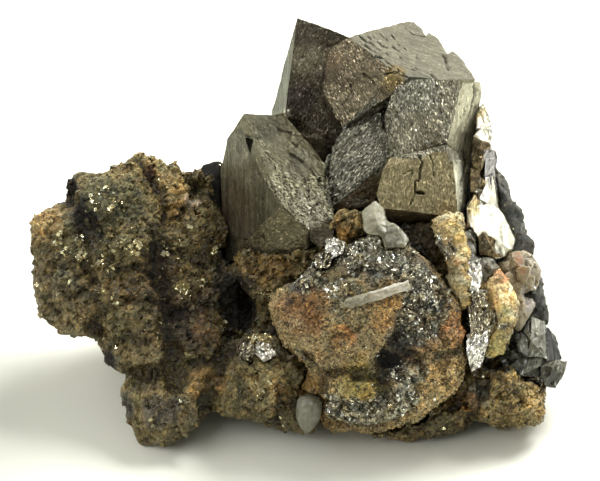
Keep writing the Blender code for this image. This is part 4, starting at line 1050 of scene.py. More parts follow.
SLAB_SHADES = [
    ((6.2, 16.6), 9, (0.262, 0.205, 0.1), 0.9), ((7.7, 14.4), 5, (0.3, 0.24, 0.12), 0.6),
    ((0.3, 18.3), 3.6, (0.185, 0.095, 0.036), 0.85), ((1.9, 20.9), 3.4, (0.19, 0.105, 0.04), 0.85),
    ((-0.7, 15.2), 2.6, TAN, 0.6), ((6.9, 21.5), 3.2, (0.2, 0.185, 0.12), 0.8),
    ((10, 22.7), 2.6, (0.22, 0.2, 0.13), 0.8), ((13.1, 19.5), 2.8, (0.42, 0.26, 0.095), 0.85),
    ((11.7, 17.8), 2, (0.36, 0.21, 0.08), 0.7), ((6.9, 16.2), 1.5, (0.5, 0.19, 0.05), 0.8),
    ((7.9, 13.7), 3.5, (0.2, 0.15, 0.065), 0.7), ((4.8, 13), 3, (0.22, 0.16, 0.075), 0.7),
    ((9.8, 15.9), 2.6, (0.19, 0.15, 0.075), 0.7), ((0.4, 24.1), 3, CHARCOAL, 0.85),
    ((4, 26), 3.4, CHARCOAL, 0.85), ((7.7, 27.9), 3.6, CHARCOAL, 0.85), ((11.4, 27.3), 3.6, CHARCOAL, 0.85),
    ((14.9, 26.1), 3.4, CHARCOAL, 0.85), ((17.5, 24.5), 3, CHARCOAL, 0.85),
    ((18.5, 20.9), 3.6, CHARCOAL, 0.9), ((16.9, 17.8), 3.2, CHARCOAL, 0.9),
    ((19.2, 16.6), 2.8, CHARCOAL, 0.8), ((5.9, 29.2), 1.8, GREY, 0.8), ((-1.3, 20.9), 1.6, CHARCOAL, 0.8),
    ((-1.3, 17.3), 1.4, PALE, 0.6), ((22.5, 16.6), 2.2, (0.44, 0.2, 0.07), 0.8),
    ((22.8, 20.9), 2, (0.3, 0.2, 0.1), 0.7), ((20.6, 13.7), 2.4, (0.29, 0.205, 0.095), 0.8),
    ((22.4, 12), 2, (0.36, 0.27, 0.13), 0.7), ((8.4, 7.9), 4, (0.3, 0.24, 0.074), 0.9),
    ((11.3, 8.2), 2.6, (0.3, 0.24, 0.074), 0.8), ((15.2, 15), 2.6, CHARCOAL, 0.9),
    # the black patch at (14, 11.4) fills the hollow under the slab's overhang: painted shade
    ((18.3, 13.4), 2.6, (0.3, 0.17, 0.07), 0.7), ((14, 11.4), 2.6, BLACK_AND_HOLLOW_SHADE, 1), ((15.6, 9.4), 2.3, GREY, 0.8),
    ((17.5, 10.5), 2, CHARCOAL, 0.9), ((7.7, 27.9), 2.6, GREY, 0.6), ((11.4, 27.3), 2.4, GREY, 0.6),
    ((16.6, 25.6), 2, GREY, 0.7), ((8.5, 4.5), 2.6, GREY, 0.95), ((5.8, 4.9), 2.4, GREY, 0.95),
    ((12, 4.8), 2.6, GREY, 0.95), ((14.9, 5.9), 2.4, GREY, 0.8), ((5.3, 6.2), 1.6, GREY, 0.8),
    ((20.6, 9.7), 3.6, (0.45, 0.325, 0.145), 0.9), ((18.5, 7.2), 3.2, (0.45, 0.325, 0.145), 0.9),
    ((22.8, 7.9), 2.4, (0.36, 0.28, 0.14), 0.8), ((15.6, 2.9), 2.6, (0.42, 0.33, 0.165), 0.7),
    ((19.5, 5.3), 2, (0.52, 0.43, 0.24), 0.7), ((1.6, 7.2), 3.4, (0.165, 0.1, 0.024), 0.9),
    ((3.6, 3.9), 3, (0.15, 0.095, 0.024), 0.9),
]
OCHRE_SHADES = [
    ((28, 24), 1.5, (0.55, 0.26, 0.12), 0.8), ((28.7, 22.1), 2.8, (0.92, 0.74, 0.42), 0.9),
    ((29.3, 17.8), 1.4, (0.4, 0.31, 0.14), 0.7), ((28.4, 14.3), 2.4, (0.4, 0.34, 0.13), 0.85),
    ((30.2, 20.1), 1.8, (0.62, 0.54, 0.24), 0.8), ((21.1, 28.2), 2, (0.07, 0.058, 0.045), 1),
    ((22.4, 31.3), 1.6, (0.4, 0.31, 0.12), 0.8), ((24, 27.9), 1.8, (0.5, 0.41, 0.21), 0.8),
    ((21.8, 25), 2.4, (0.24, 0.18, 0.08), 0.85), ((23.8, 21.5), 1.8, (0.36, 0.28, 0.12), 0.7),
    ((23, 26.4), 0.9, (0.3, 0.17, 0.07), 0.75), ((21.2, 30.2), 1, (0.26, 0.19, 0.08), 0.8),
    ((24.3, 24.5), 1.3, (0.44, 0.3, 0.11), 0.7),
]
ROCK_SHADES = [
    ((32.2, 33.9), 4.5, (0.034, 0.036, 0.03), 0.85), ((35.8, 20.9), 3, (0.045, 0.046, 0.04), 0.7),
    ((-12.6, 38.6), 4.5, (0.008, 0.0075, 0.007), 1), ((29.6, 39.4), 1.6, (0.12, 0.12, 0.115), 0.7),
    ((32.8, 32.2), 1.2, (0.1, 0.105, 0.095), 0.7), ((31.6, 34.5), 1, (0.035, 0.036, 0.032), 0.8),
]
ROCK_FAR_SHADES = [
    ((2, 26, -22), 5, (0.1, 0.095, 0.08), 0.7), ((14, 30, -26), 4, (0.14, 0.085, 0.04), 0.7),
    ((-4, 34, -18), 4.5, (0.13, 0.09, 0.045), 0.7), ((22, 22, -24), 5, (0.045, 0.045, 0.04), 0.8),
    ((8, 18, -30), 5, (0.12, 0.1, 0.07), 0.6), ((26, 34, -18), 3.5, (0.13, 0.13, 0.11), 0.7),
    ((16, 12, -30), 4, (0.15, 0.1, 0.045), 0.7), ((-8, 24, -22), 3.5, (0.16, 0.11, 0.05), 0.8),
]


# Humps pressed down: place, radius, amount
MATRIX_DENTS = [((-15.2, 42), 3.4, 2.2), ((-14, 40.3), 1.8, 1.2)]
# Gaps filled by flattened balls: place and radii
SLAB_PLUGS = [((15.2, 15, 9.6), (2.6, 2.6, 1.9))]
MATRIX_PLUGS = [((-14, 37.3, -5.3), (2, 2.8, 1.5))]
# Crevices that part the lumps: width, depth, path
MATRIX_CREVICES = [
    (1.5, 0.9, [(-33.4, 38.3), (-32.5, 34.7), (-30.8, 32.2), (-29.2, 30.8)]),
    (1.1, 1.1, [(-22.8, 41.4), (-21.7, 39.4), (-20.8, 37.4), (-19.3, 35.7), (-18.9, 33.6), (-19.8, 31)]),
    (0.9, 0.7, [(-15.7, 39.1), (-14.4, 37.1), (-16, 34.7), (-17.5, 32.8)]),
    (2.2, 1.1, [(-19.8, 31), (-19.5, 28.2), (-20.2, 25.3), (-18.9, 22.4), (-18.1, 19.5), (-19.1, 16.6),
        (-18.1, 13.7), (-17.5, 8.7)]),
    (1.2, 0.7, [(-30.8, 31.8), (-29.6, 28.9), (-30.2, 26), (-28.9, 23.1), (-28.4, 19.5), (-29.6, 16.6)]),
    (1.1, 0.6, [(-28.4, 19.5), (-24.1, 20.6), (-20.1, 20.9)]),
    (1.3, 0.9, [(-24.1, 10.3), (-21.2, 10.7), (-18.3, 9.7), (-16, 10.8), (-13.1, 12.3)]),
    (1.4, 0.9, [(-13.3, 4.2), (-12.9, 7.2), (-11.7, 10.1), (-10.8, 13), (-9.7, 15.5)]),
    (0.9, 0.5, [(-17.2, 27.9), (-14, 26.4), (-11.4, 25.6)]),
    (0.9, 0.5, [(-28.4, 27.4), (-25.3, 25.3), (-22.7, 25.6), (-20.2, 24.5)]),
    (0.9, 0.5, [(-37.1, 20.9), (-34.5, 22.4), (-32.1, 21.2), (-29.9, 22.4)]),
    (0.9, 0.5, [(-27, 14.4), (-24.4, 15.9), (-22.7, 14.4), (-19.5, 15.2)]),
    (1, 0.6, [(-8.8, 5.1), (-7.7, 7.7), (-8.2, 10.5), (-6.8, 12)]),
    (1, 0.6, [(-3, 2.2), (-2.2, 5.8), (-2.5, 8.7)]),
    (1.3, 1, [(25, 2.2), (25.6, 5.1), (26.7, 7.2), (26.4, 9.7)]),
    (1.3, 1.2, [(27, 12.6), (28.3, 12), (29.7, 11.4)]),
    (0.9, 0.5, [(29.3, 7.2), (31.5, 8.2), (33.4, 10), (35.8, 8.8)]),
    (0.9, 0.5, [(31.6, 8.2), (32.5, 5.8), (31.6, 3)]),
    (1, 0.6, [(14.9, 2.2), (17.8, 3.6), (21.4, 4.8), (23.8, 5.9)]),
    (0.9, 0.5, [(-7.1, 25.6), (-5.1, 24.4), (-3, 26.4), (-0.1, 25.6)]),
]
SLAB_CREVICES = [
    (1.6, 1.1, [(13.1, 12.3), (14, 11.4), (15, 10.3)]),
    (0.9, 0.7, [(12.7, 13.7), (11.8, 12), (12.4, 10.3)]),
    (1, 0.7, [(15.5, 13.4), (16.9, 12.9), (17.8, 11.4)]),
    (1.2, 1, [(0.9, 12.9), (2.2, 11.4), (3.6, 10.1), (6.9, 10.5), (9.8, 10.5), (12, 9.7), (12.9, 7.7),
        (12, 6.2)]),
    (0.9, 0.7, [(3.5, 9.4), (3.9, 6.8), (5.9, 5.9), (9.1, 5.8), (12, 6.1)]),
    (0.8, 0.6, [(4.9, 4.2), (6.9, 2.6), (10.8, 2.6), (14.6, 3.5), (16.6, 5.1), (16.8, 6.8), (15.5, 7.7)]),
    (0.9, 0.6, [(0.4, 22.4), (3.6, 23.5), (6.9, 24.3), (9.4, 25.6), (12.7, 25), (15.5, 23.5)]),
    (0.8, 0.5, [(16.3, 22.1), (14.9, 18.3), (14, 16), (12.6, 13.7)]),
    (0.7, 0.45, [(4.8, 15.9), (7.4, 16), (9.4, 17.2)]),
    (0.9, 0.7, [(18.5, 13.7), (17.5, 12), (18.3, 10), (17.2, 7.9)]),
    (0.9, 0.6, [(18.1, 14.4), (19.8, 13.4), (21.5, 12.9), (23.5, 13.7)]),
    (0.7, 0.4, [(21.8, 12.6), (20.9, 10.5), (21.8, 8.2)]),
    (0.8, 0.5, [(19.5, 23.8), (20.6, 20.9), (20.4, 17.3), (21.2, 14.4)]),
]


def finish_lump(node, slot, material, voxel, base, shades, lumps, facets, fine, seed, crevices=(),
                dimming=1.0, sink=0.18, smooth=False, plugs=(), deep=0.62, dents=()):
    """Replace a lumpy solid by a fine skin with lumps, crystal faces and painted patches, with painted shade
    in its hollows and painted light on its ridges.
    """
    places, tris = remeshed(node, voxel, plugs)
    for place, radius, amount in dents:
        distance = np.linalg.norm(drawn(places)[:, :2] - np.array(place), axis=1)
        places = places - (1 - ease(distance, 0.3 * radius, radius))[:, None] * UP * amount * MM
    here = drawn(places)
    normals = point_normals(places, tris)
    lift = lumps[1] * layered(here, lumps[0], 3, seed)
    lift += crystal_facets(here, *facets, seed + 5)
    lift += crystal_facets(here, *fine, seed + 9)
    # the skin stays inside the solid's own reach and keeps its flat foot
    lift = np.minimum(lift - sink, 0.24)
    sunk = np.zeros(len(here))
    front = np.flatnonzero(normals @ NEAR > -0.1)
    near = shaken(here[front], 1.2, 0.5, seed + 60)
    for width, depth, path in crevices:
        sunk[front] = np.maximum(sunk[front], depth * groove_mask(near, path, width))
    lift = (lift - sunk) * ease(places[:, 2] / MM, 0.05, 0.8)
    moved = places + normals * lift[:, None] * MM
    moved[:, 2] = np.maximum(moved[:, 2], 0.0)
    thing = make_object(node + "_skin", moved, tris, smooth)
    tree = tree_of(places, tris)
    placed = [zone for zone in shades if len(zone[0]) == 3]
    drawn_on = [zone for zone in shades if len(zone[0]) == 2]
    colour = paint_zones(places, base, seated(tree, drawn_on) + placed, 1.6, seed) * dimming
    # painted shade: the colour darkens where the skin sinks into hollows and crevices (deep sets how much),
    # and painted light brightens the raised ridges
    painted_hollow_shade = ease(-lift, 0.15, 0.9)
    painted_ridge_light = ease(lift, 0.0, 0.24)
    colour = colour * (1 - deep * painted_hollow_shade + 0.35 * painted_ridge_light)[:, None]
    set_colour(thing, colour)
    ride(thing, material, slot, node)
    return moved, tris, here, colour, tree


def sprinkle(name, slot, material, skin, spots, everywhere, count, forms, sizes, sink, colour, seed,
             variety=0.6, follow=0.0):
    """Small crystals scattered over a skin, thick around chosen places; their colour may follow the
    skin's."""
    places, tris, here, skin_colour, tree = skin
    centre = here[tris].mean(axis=1)
    chance = np.full(len(tris), float(everywhere))
    for place, radius, amount in spots:
        chance += amount * zone_weight(centre, in_front(tree, place), radius)
    chance *= places[tris].mean(axis=1)[:, 2] > FOOT_CLEAR
    small_places, small_tris, under = grow(places, tris, chance, count, forms, sizes, sink,
                                           np.random.default_rng(SEED + seed))
    thing = make_object(name, small_places, small_tris)
    shade = 1 + variety * (2 * cell_random(np.floor(drawn(small_places) / 0.6), seed) - 1)
    tint = np.asarray(colour) * (1 - follow) + follow * skin_colour[tris].mean(axis=1)[under]
    set_colour(thing, tint * shade[:, None])
    set_corner_vectors(thing, "grain", small_places[small_tris.ravel()] / MM)
    set_corner_vectors(thing, "finish", np.tile((0.2, 0.5, 0.3), (len(small_tris) * 3, 1)))
    ride(thing, material, slot)


# Where loose crystals gather: place, radius, amount
GOLD_SPOTS = [
    ((-34.4, 30), 0.7, 6), ((-34.8, 29), 0.8, 6), ((-33.5, 27.7), 0.9, 7), ((-30.9, 27.1), 0.9, 8),
    ((-33.2, 24.5), 0.8, 5), ((-25.3, 29), 0.9, 9), ((-24, 28.3), 0.9, 9), ((-23.1, 28.7), 0.9, 9),
    ((-28.2, 26.6), 0.8, 8), ((-27, 25.8), 0.8, 8), ((-19.3, 25.8), 0.7, 7), ((-16.9, 29.2), 0.6, 7),
    ((-18.5, 28.2), 0.9, 6), ((-12, 27.9), 0.8, 5), ((-28.4, 22.4), 0.7, 5), ((-26.7, 20.5), 0.9, 4),
    ((-16.3, 22.1), 1.4, 7), ((-14, 23.1), 1, 6), ((-5.1, 14.4), 2.2, 22), ((-6.8, 14.4), 1.2, 20),
    ((-3.6, 13.4), 1.4, 22), ((-4.3, 12.3), 1.4, 10), ((-31.6, 30), 0.8, 5), ((-27.7, 35.4), 3, 1.5),
    ((-19.8, 15.2), 1, 2), ((-5.1, 8.7), 2, 2), ((-8.2, 21.8), 0.6, 4), ((-4.3, 21.9), 1, 10),
]
SLAB_SPARKS = [
    ((6.9, 27.4), 2.6, 7), ((10.8, 27.9), 2.6, 7), ((14.2, 26.4), 2.4, 6), ((3.6, 26.4), 2.2, 5),
    ((17.5, 23.1), 2.4, 4), ((5.5, 28.9), 1.8, 10), ((9.8, 29.6), 1.8, 8), ((13.4, 26.4), 1.8, 5),
    ((16.6, 25.8), 1.2, 9), ((19.2, 23.8), 1.6, 8), ((18.5, 20.9), 2.4, 4), ((17, 18.1), 2.2, 4),
    ((14.6, 10.5), 1.8, 8), ((15.5, 6.5), 1.6, 16), ((16, 7.7), 1.2, 16), ((4.8, 6.1), 1.2, 12),
    ((8.5, 4.5), 2.2, 5), ((5.8, 23.2), 1, 8), ((7.7, 26.4), 2.2, 4), ((0.4, 23.5), 1.6, 3),
    ((4.5, 22.4), 1.5, 5),
]
OCHRE_SPOTS = [((21.1, 28.2), 1.7, 20), ((29.6, 17.8), 1, 6)]
RIM_SPOTS = [
    ((8.5, 4.5), 2.4, 9), ((5.8, 4.9), 2, 9), ((12, 4.8), 2.4, 9), ((15.2, 6.2), 2.4, 9),
    ((7.7, 27.4), 3.4, 3), ((14.9, 26.4), 3.4, 3), ((18.5, 20.9), 3.8, 3), ((16.9, 17.3), 3, 3),
    ((16.6, 10), 2.6, 6), ((6.9, 21.5), 2.6, 3), ((1.9, 24.5), 2.6, 3),
]


def lumpy_pieces():
    """Siderite mass, crusted slab, ochre crust and wall rock with the crystals that grow on them."""
    siderite = druse_material("siderite_druse", 0.38, 0.8, (0.12, 0.5), 0.6, glints_and_specks=1.8)
    matrix = finish_lump("siderite_matrix", "siderite", siderite, 0.4, OLIVE, MATRIX_SHADES,
                         (3.2, 0.45), (1.15, 0.5), (0.55, 0.3), 40, MATRIX_CREVICES, 0.76,
                         plugs=MATRIX_PLUGS, dents=MATRIX_DENTS)
    crust = druse_material("slab_druse", 0.27, 0.8, (0.2, 0.6), 0.85, glints_and_specks=2.4)
    slab = finish_lump("crusted_slab", "crusted_siderite", crust, 0.3, TAN, SLAB_SHADES,
                       (2.0, 0.18), (0.8, 0.28), (0.42, 0.30), 60, SLAB_CREVICES, plugs=SLAB_PLUGS)
    earthy = druse_material("ochre_druse", 0.3, 0.4, (0.5, 0.9), 0.38, specular=0.3, glints_and_specks=0.7)
    ochre = finish_lump("ochre_crust", "ochre", earthy, 0.25, (0.38, 0.33, 0.20), OCHRE_SHADES,
                        (1.8, 0.16), (0.9, 0.28), (0.42, 0.2), 80, deep=0.45, sink=-0.05)
    grainy = druse_material("wall_rock_grain", 0.45, 0.22, (0.4, 0.75), 0.3, 0.0, 0.3, 0.7)
    rock = finish_lump("host_rock", "wall_rock", grainy, 0.54, (0.048, 0.047, 0.04),
                       ROCK_SHADES + ROCK_FAR_SHADES, (2.6, 0.2), (1.7, 0.22), (0.8, 0.12), 100,
                       sink=-0.12, smooth=True)
    forms = [form_block(0.3), form_block(0.15), form_block(0.4)]
    sprinkle("siderite_rhombs", "siderite", siderite, matrix, [], 1.0, 5300, forms, (0.24, 0.88),
             0.4, (0.15, 0.115, 0.045), 1, 0.75, 0.8)
    metal = crystal_material("pyrite_grains", 1.0, 0.3, 0.3, (0.12, 0.3))
    cubes = [form_block(0.0), form_double()]
    sprinkle("pyrite_grains_on_siderite", "pyrite", metal, matrix, GOLD_SPOTS, 0.04, 1600, cubes,
             (0.17, 0.72), 0.12, (0.86, 0.76, 0.48), 2, 0.5)
    sprinkle("pyrite_grains_on_slab", "pyrite", metal, slab, SLAB_SPARKS, 0.07, 1700, cubes,
             (0.14, 0.54), 0.15, (0.85, 0.82, 0.68), 3, 0.7)
    dark = druse_material("dark_grain_faces", 0.6, 0.2, (0.12, 0.4), 0.4, 0.8)
    sprinkle("slab_rim_grains", "crusted_siderite", dark, slab, RIM_SPOTS, 0.02, 3900,
             forms + [form_double()], (0.2, 0.54), 0.2, (0.275, 0.262, 0.20), 4, 1.0)
    sprinkle("dark_grains_on_ochre", "ochre", dark, ochre, OCHRE_SPOTS, 0.0, 300, forms, (0.2, 0.5),
             0.1, (0.30, 0.28, 0.22), 9, 1.0)
    sprinkle("slab_rhombs", "crusted_siderite", crust, slab, [], 1.0, 2500, forms, (0.2, 0.54),
             0.25, (0.24, 0.17, 0.075), 5, 0.6, 0.85)
    sprinkle("ochre_grains", "ochre", earthy, ochre, [], 1.0, 1300, forms, (0.2, 0.65),
             0.32, (0.50, 0.42, 0.22), 6, 0.4, 0.85)
    sprinkle("wall_rock_grains", "wall_rock", grainy, rock, [], 1.0, 1500, forms, (0.3, 0.9),
             0.42, (0.08, 0.075, 0.06), 7, 0.5, 0.7)
    sprinkle("pyrite_grains_on_rock", "pyrite", metal, rock, [], 1.0, 130, cubes,
             (0.15, 0.5), 0.2, (0.80, 0.72, 0.48), 8, 0.4)


# Pyrite, quartz and the dark crystals

# the bright and bronze tints also carry painted light: faces that mirror the light are tinted near white,
# shaded ones dark bronze
PYRITE_LOOKS = {
    "bright": ((0.74, 0.68, 0.50), (0.35, 1.0, 0.2), (0.1, 1, 0)),
    "fluted": ((0.70, 0.67, 0.54), (0.4, 2.0, 0.1), (0.05, 1, 0)),
    "bronze": ((0.17, 0.13, 0.07), (0.3, 0.7, 0.5), (0.3, 1, 0)),
    "lilac": ((0.30, 0.29, 0.29), (0.2, 0.5, 0.5), (0.5, 1, 0)),
    "silver": ((0.74, 0.71, 0.62), (1.2, 0.6, 0.3), (0.1, 1, 0)),
    "drusy": ((0.30, 0.265, 0.19), (1.6, 0.4, 0.4), (0.1, 1, 0)),
}
PYRITE_FACES = [
    ("bronze", [(25, 43.3), (28.2, 42.9), (27.6, 39.4), (25, 39.4)]),
    ("lilac", [(27, 42.6), (29.3, 42.6), (29.3, 38.8), (27, 38.8)]),
    ("bronze", [(24.1, 39.7), (27, 39.7), (26.7, 35.4), (24.1, 34.7)]),
    ("fluted", [(26.4, 36.8), (31.6, 36.8), (32.2, 27), (26.1, 28.2)]),
    ("bronze", [(24.4, 30.2), (28.2, 30.2), (28.7, 27.3), (24.4, 27.3)]),
]
# near-white and near-black patches on the pyrite block: painted reflections
PYRITE_PAINTED_REFLECTIONS = [
    ((27, 44.9), 1.5, (0.98, 0.94, 0.78), 0.95), ((26.1, 42.7), 1.2, (0.1, 0.075, 0.04), 0.85),
    ((27.3, 36.1), 1.2, (0.98, 0.94, 0.8), 0.9), ((26.7, 48.1), 1, (0.5, 0.42, 0.24), 0.8),
    ((25.4, 34.2), 1.4, (0.42, 0.35, 0.18), 0.85), ((27, 28.6), 1.5, (0.12, 0.1, 0.065), 0.9),
    ((25.8, 38.3), 1.3, (0.09, 0.07, 0.04), 0.8),
]
STRIP_FACES = [
    ("silver", [(23.2, 31.8), (27.3, 31.8), (27.3, 22.1), (23.2, 22.1)]),
    ("drusy", [(23.2, 22.1), (28.2, 22.1), (28.2, 16), (23.2, 16)]),
    ("silver", [(23.2, 16), (28.2, 16), (28.2, 9.4), (23.2, 9.4)]),
]
CORNER_FACES = [
    ("silver", [(1.9, 32.5), (7.7, 32.5), (7.7, 24.5), (1.9, 24.5)]),
    ("drusy", [(1.6, 27.9), (4.9, 28.2), (4.9, 24.5), (1.6, 24.5)]),
]
NEST_FACES = [
    ("drusy", [(-9, 17.3), (-5.1, 17.3), (-5.1, 10.5), (-9, 10.5)]),
    ("silver", [(-5.9, 16.6), (-1, 16.6), (-1, 10.5), (-5.9, 10.5)]),
]
QUARTZ_SHADES = [
    ((32.1, 27), 0.7, (0.55, 0.2, 0.07), 0.8), ((32.3, 25.8), 0.8, (0.5, 0.22, 0.09), 0.7),
    ((32.6, 24.7), 0.6, (0.5, 0.26, 0.12), 0.6), ((30, 23.5), 2, (0.32, 0.24, 0.13), 0.7),
    ((33.6, 20.9), 2, (0.5, 0.46, 0.47), 0.7), ((31.5, 29.6), 2.5, (0.34, 0.3, 0.18), 0.6),
    ((34.4, 26.4), 2, (0.46, 0.44, 0.36), 0.6),
]
ROD_SHADES = [
    ((7.7, 21.1), 3, (0.34, 0.32, 0.21), 0.9), ((10.3, 21.7), 1.8, (0.52, 0.48, 0.35), 0.8),
    ((12.6, 22.4), 0.7, (0.5, 0.46, 0.36), 0.7),
]
POINT_SHADES = [((13.1, 29.6), 2.4, (0.235, 0.22, 0.15), 0.85), ((14.6, 30.2), 1.6, (0.4, 0.39, 0.3), 0.7)]
SHARD_LOOKS = {
    "glass": ((0.03, 0.03, 0.021), (0.9, 0.6, 0.3), (0.2, 1, 0)),
    "edge": ((0.17, 0.17, 0.13), (0.8, 0.8, 0.3), (0.3, 1, 0)),
    "night": ((0.008, 0.008, 0.008), (0.1, 0.5, 0.2), (0.3, 1, 0)),
    "grey": ((0.075, 0.07, 0.048), (0.9, 0.3, 0.5), (0.3, 1, 0)),
}
SHARD_FACES = [
    ("night", [(35.8, 17.3), (37.4, 16.6), (38.3, 12.6), (36.2, 12.6)]),
    ("edge", [(35.1, 17.3), (36, 17.3), (35.8, 12.3), (34.8, 12.3)]),
    ("grey", [(35.2, 12.3), (39.7, 12.3), (39.7, 7.7), (35.2, 7.7)]),
]
SHARD_SPOTS = [((31, 14.9), 1.6, 10), ((31.6, 12.3), 1.6, 6)]
SHARD_SHADES = [
    # the lighter patch at (32.2, 14.4) is a painted highlight on a glassy facet
    ((32.2, 14.4), 1.3, (0.12, 0.12, 0.085), 0.8), ((34.4, 15.5), 1.6, (0.085, 0.08, 0.05), 0.7),
    ((32.8, 12.6), 1.2, (0.05, 0.048, 0.035), 0.7), ((36.8, 9.7), 0.9, (0.035, 0.034, 0.028), 0.8),
    ((37.7, 11.4), 0.8, (0.13, 0.13, 0.1), 0.7),
]
DOME_SHADES = [((27.7, 27), 1.4, (0.32, 0.31, 0.24), 0.7), ((24.7, 26.4), 1.5, (0.42, 0.4, 0.38), 0.7)]


def relaxed(places, tris, rounds):
    """Points drawn towards the middle of their neighbours, which rounds edges."""
    start, end = edge_ends(tris).reshape(-1, 2).T
    count = np.maximum(np.bincount(start, minlength=len(places)), 1)
    for _ in range(rounds):
        middle = np.stack([np.bincount(start, places[end, k], len(places)) for k in range(3)], axis=1)
        places = 0.4 * places + 0.6 * middle / count[:, None]
    return places


def finish_stone(node, slot, material, voxel, base, shades, lumps, facets, seed, smooth=True, rounds=0,
                 sink=0.03):
    """Replace a solid of glassy stone by a fine skin with low relief."""
    places, tris = remeshed(node, voxel)
    places = relaxed(places, tris, rounds)
    here = drawn(places)
    lift = lumps[1] * layered(here, lumps[0], 3, seed) + crystal_facets(here, *facets, seed + 5)
    lift = np.minimum(lift - sink, 0.12)
    moved = places + point_normals(places, tris) * lift[:, None] * MM
    thing = make_object(node + "_skin", moved, tris, smooth)
    tree = tree_of(*arrays(frame["nodes"][node].data))
    set_colour(thing, paint_zones(places, base, seated(tree, shades), 0.6, seed))
    ride(thing, material, slot, node)


def small_crystals():
    """Pyrite blocks, quartz crystals and the dark sulphide crystals."""
    shine = crystal_material("pyrite_faces", 1.0, 0.26, 0.4, (0.10, 0.3), 0.12)

    def even(middle):
        return np.full(len(middle), 0.36)

    for node, outlines, shades, relief in (
            ("pyrite_cluster", PYRITE_FACES, PYRITE_PAINTED_REFLECTIONS, 1.4), ("pyrite_strip", STRIP_FACES, [], 0.8),
            ("pyrite_corner", CORNER_FACES, [], 1.6), ("pyrite_nest", NEST_FACES, [], 1.6)):
        finish_facets(node, "pyrite", shine, PYRITE_LOOKS, outlines, ("bright", "fluted", "bronze"),
                      shades, even, relief, bend=4.0)
    milky = quartz_material("milky_quartz")
    finish_stone("quartz_cluster", "milky_quartz", milky, 0.2, (0.47, 0.39, 0.25), QUARTZ_SHADES,
                 (1.6, 0.08), (2.3, 0.50), 120, False, 0, 0.30)
    finish_stone("quartz_dome", "milky_quartz", milky, 0.2, (0.26, 0.245, 0.18), DOME_SHADES,
                 (1.6, 0.08), (1.8, 0.40), 130, False, 0, 0.22)
    finish_stone("quartz_point", "milky_quartz", quartz_material("pale_quartz", 0.5, 0.5, (0.06, 0.22)), 0.2,
                 (0.58, 0.56, 0.41), POINT_SHADES, (1.6, 0.06), (1.4, 0.10), 140, rounds=3)
    finish_stone("quartz_tooth", "milky_quartz", quartz_material("grey_quartz", 0.3, 0.6, (0.08, 0.2)), 0.22,
                 (0.235, 0.23, 0.165), [((0.9, 6.5), 1.6, (0.36, 0.36, 0.29), 0.8)],
                 (1.6, 0.04), (1.4, 0.03), 150, True, 60, -0.45)
    finish_stone("quartz_rod", "clear_quartz", quartz_material("clear_quartz", 0.45, 0.5, (0.05, 0.25)), 0.14,
                 (0.85, 0.80, 0.67), ROD_SHADES, (1.0, 0.12), (0.6, 0.25), 160, True, 8, 0.26)
    glass = crystal_material("dark_crystal_faces", 0.0, 0.9, 0.35, (0.03, 0.2), 0.05, 0.38)
    shards = finish_facets("dark_crystals", "dark_sulphide", glass, SHARD_LOOKS, SHARD_FACES, ("glass",),
                           SHARD_SHADES, even)
    sprinkle("dark_shards", "dark_sulphide", glass, shards, SHARD_SPOTS, 0.0, 26,
             [form_block(0.5), form_double()], (0.9, 1.9), 0.1, (0.04, 0.04, 0.03), 10, 0.6)


# Floor, light and camera


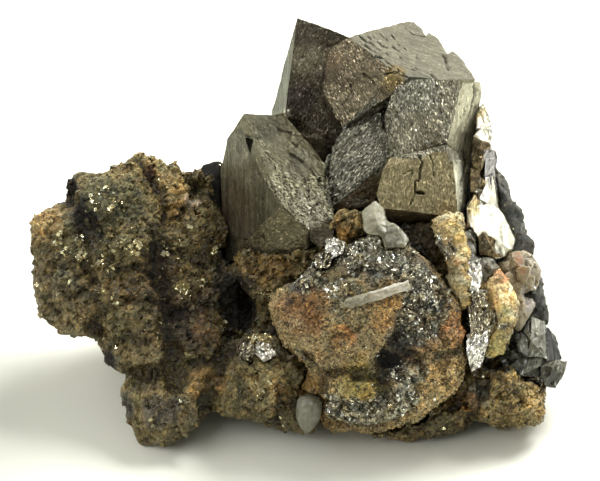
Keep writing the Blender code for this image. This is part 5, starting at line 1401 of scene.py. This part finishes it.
def floor():
    """Wide pale sweep under the specimen, with painted shade that darkens it towards the left."""
    corners = np.array([[-1, -1, 0], [1, -1, 0], [1, 1, 0], [-1, 1, 0]], float) * 2.0
    sheet = make_object("floor", corners, np.array([[0, 1, 2], [0, 2, 3]]))
    g = Graph("pale_sweep")
    here = g.place()
    # painted shade: the sweep darkens towards the left
    side = g.ramp(g.node("SeparateXYZ", Vector=here).outputs[0], -52.0, -26.0, True)
    shade = g.times(g.span(g.noise(here, 0.01, 2.0, 0.5), 0.985, 1.0), g.span(side, 0.74, 1.0))
    sheet.data.materials.append(g.surface(Base_Color=g.scaled((0.86, 0.865, 0.77), shade), Roughness=0.85))


def lamp(name, place, aim, size, power, glossy):
    """Square light: it either lights matt surfaces or is mirrored in shiny ones."""
    data = bpy.data.lights.new(name, "AREA")
    data.size = size
    data.energy = power
    thing = bpy.data.objects.new(name, data)
    thing.visible_glossy = glossy
    thing.visible_diffuse = not glossy
    thing.location = place
    thing.rotation_euler = (Vector(aim) - Vector(place)).to_track_quat("-Z", "Y").to_euler()
    bpy.context.scene.collection.objects.link(thing)


def world():
    """Bright low down and behind the specimen, dim overhead and on the viewer's side."""
    g = Graph("studio", world=True)
    bpy.context.scene.world = g.owner
    split = g.node("SeparateXYZ", Vector=g.node("TexCoord").outputs["Generated"])
    strength = g.span(g.ramp(split.outputs["Y"], -0.55, 0.75, True), 0.20, 0.85)
    g.wired(g.node("Background", Color=(1.0, 0.995, 0.90), Strength=strength))


def camera():
    """Long lens at the photograph's angle."""
    data = bpy.data.cameras.new("camera")
    data.sensor_width = 36.0
    data.lens = 36.0 * CAMERA_FAR / VIEW_WIDTH
    data.clip_end = 10.0
    thing = bpy.data.objects.new("camera", data)
    turn = Matrix(TURN.T.tolist())
    thing.matrix_world = Matrix.Translation(Vector(spot(VIEW_CENTRE)) + Vector(NEAR * CAMERA_FAR * MM)) \
        @ turn.to_4x4()
    bpy.context.scene.collection.objects.link(thing)
    bpy.context.scene.camera = thing


def studio():
    """Everything around the specimen."""
    floor()
    world()
    camera()
    lamp("key", (0.22, 0.28, 0.42), (0, 0, 0.02), 0.30, 5.3, False)
    lamp("fill", (-0.40, -0.15, 0.30), (0, 0, 0.02), 0.45, 1.9, False)
    for number, place in enumerate(((0.30, 0.10, 0.16), (-0.22, 0.10, 0.34), (0.06, -0.20, 0.42))):
        lamp("glint_%d" % number, place, (0, 0, 0.02), 0.04, 0.55, True)
    view = bpy.context.scene.view_settings
    view.view_transform = "Standard"
    view.look = "None"


studio()
arsenopyrite()
lumpy_pieces()
small_crystals()
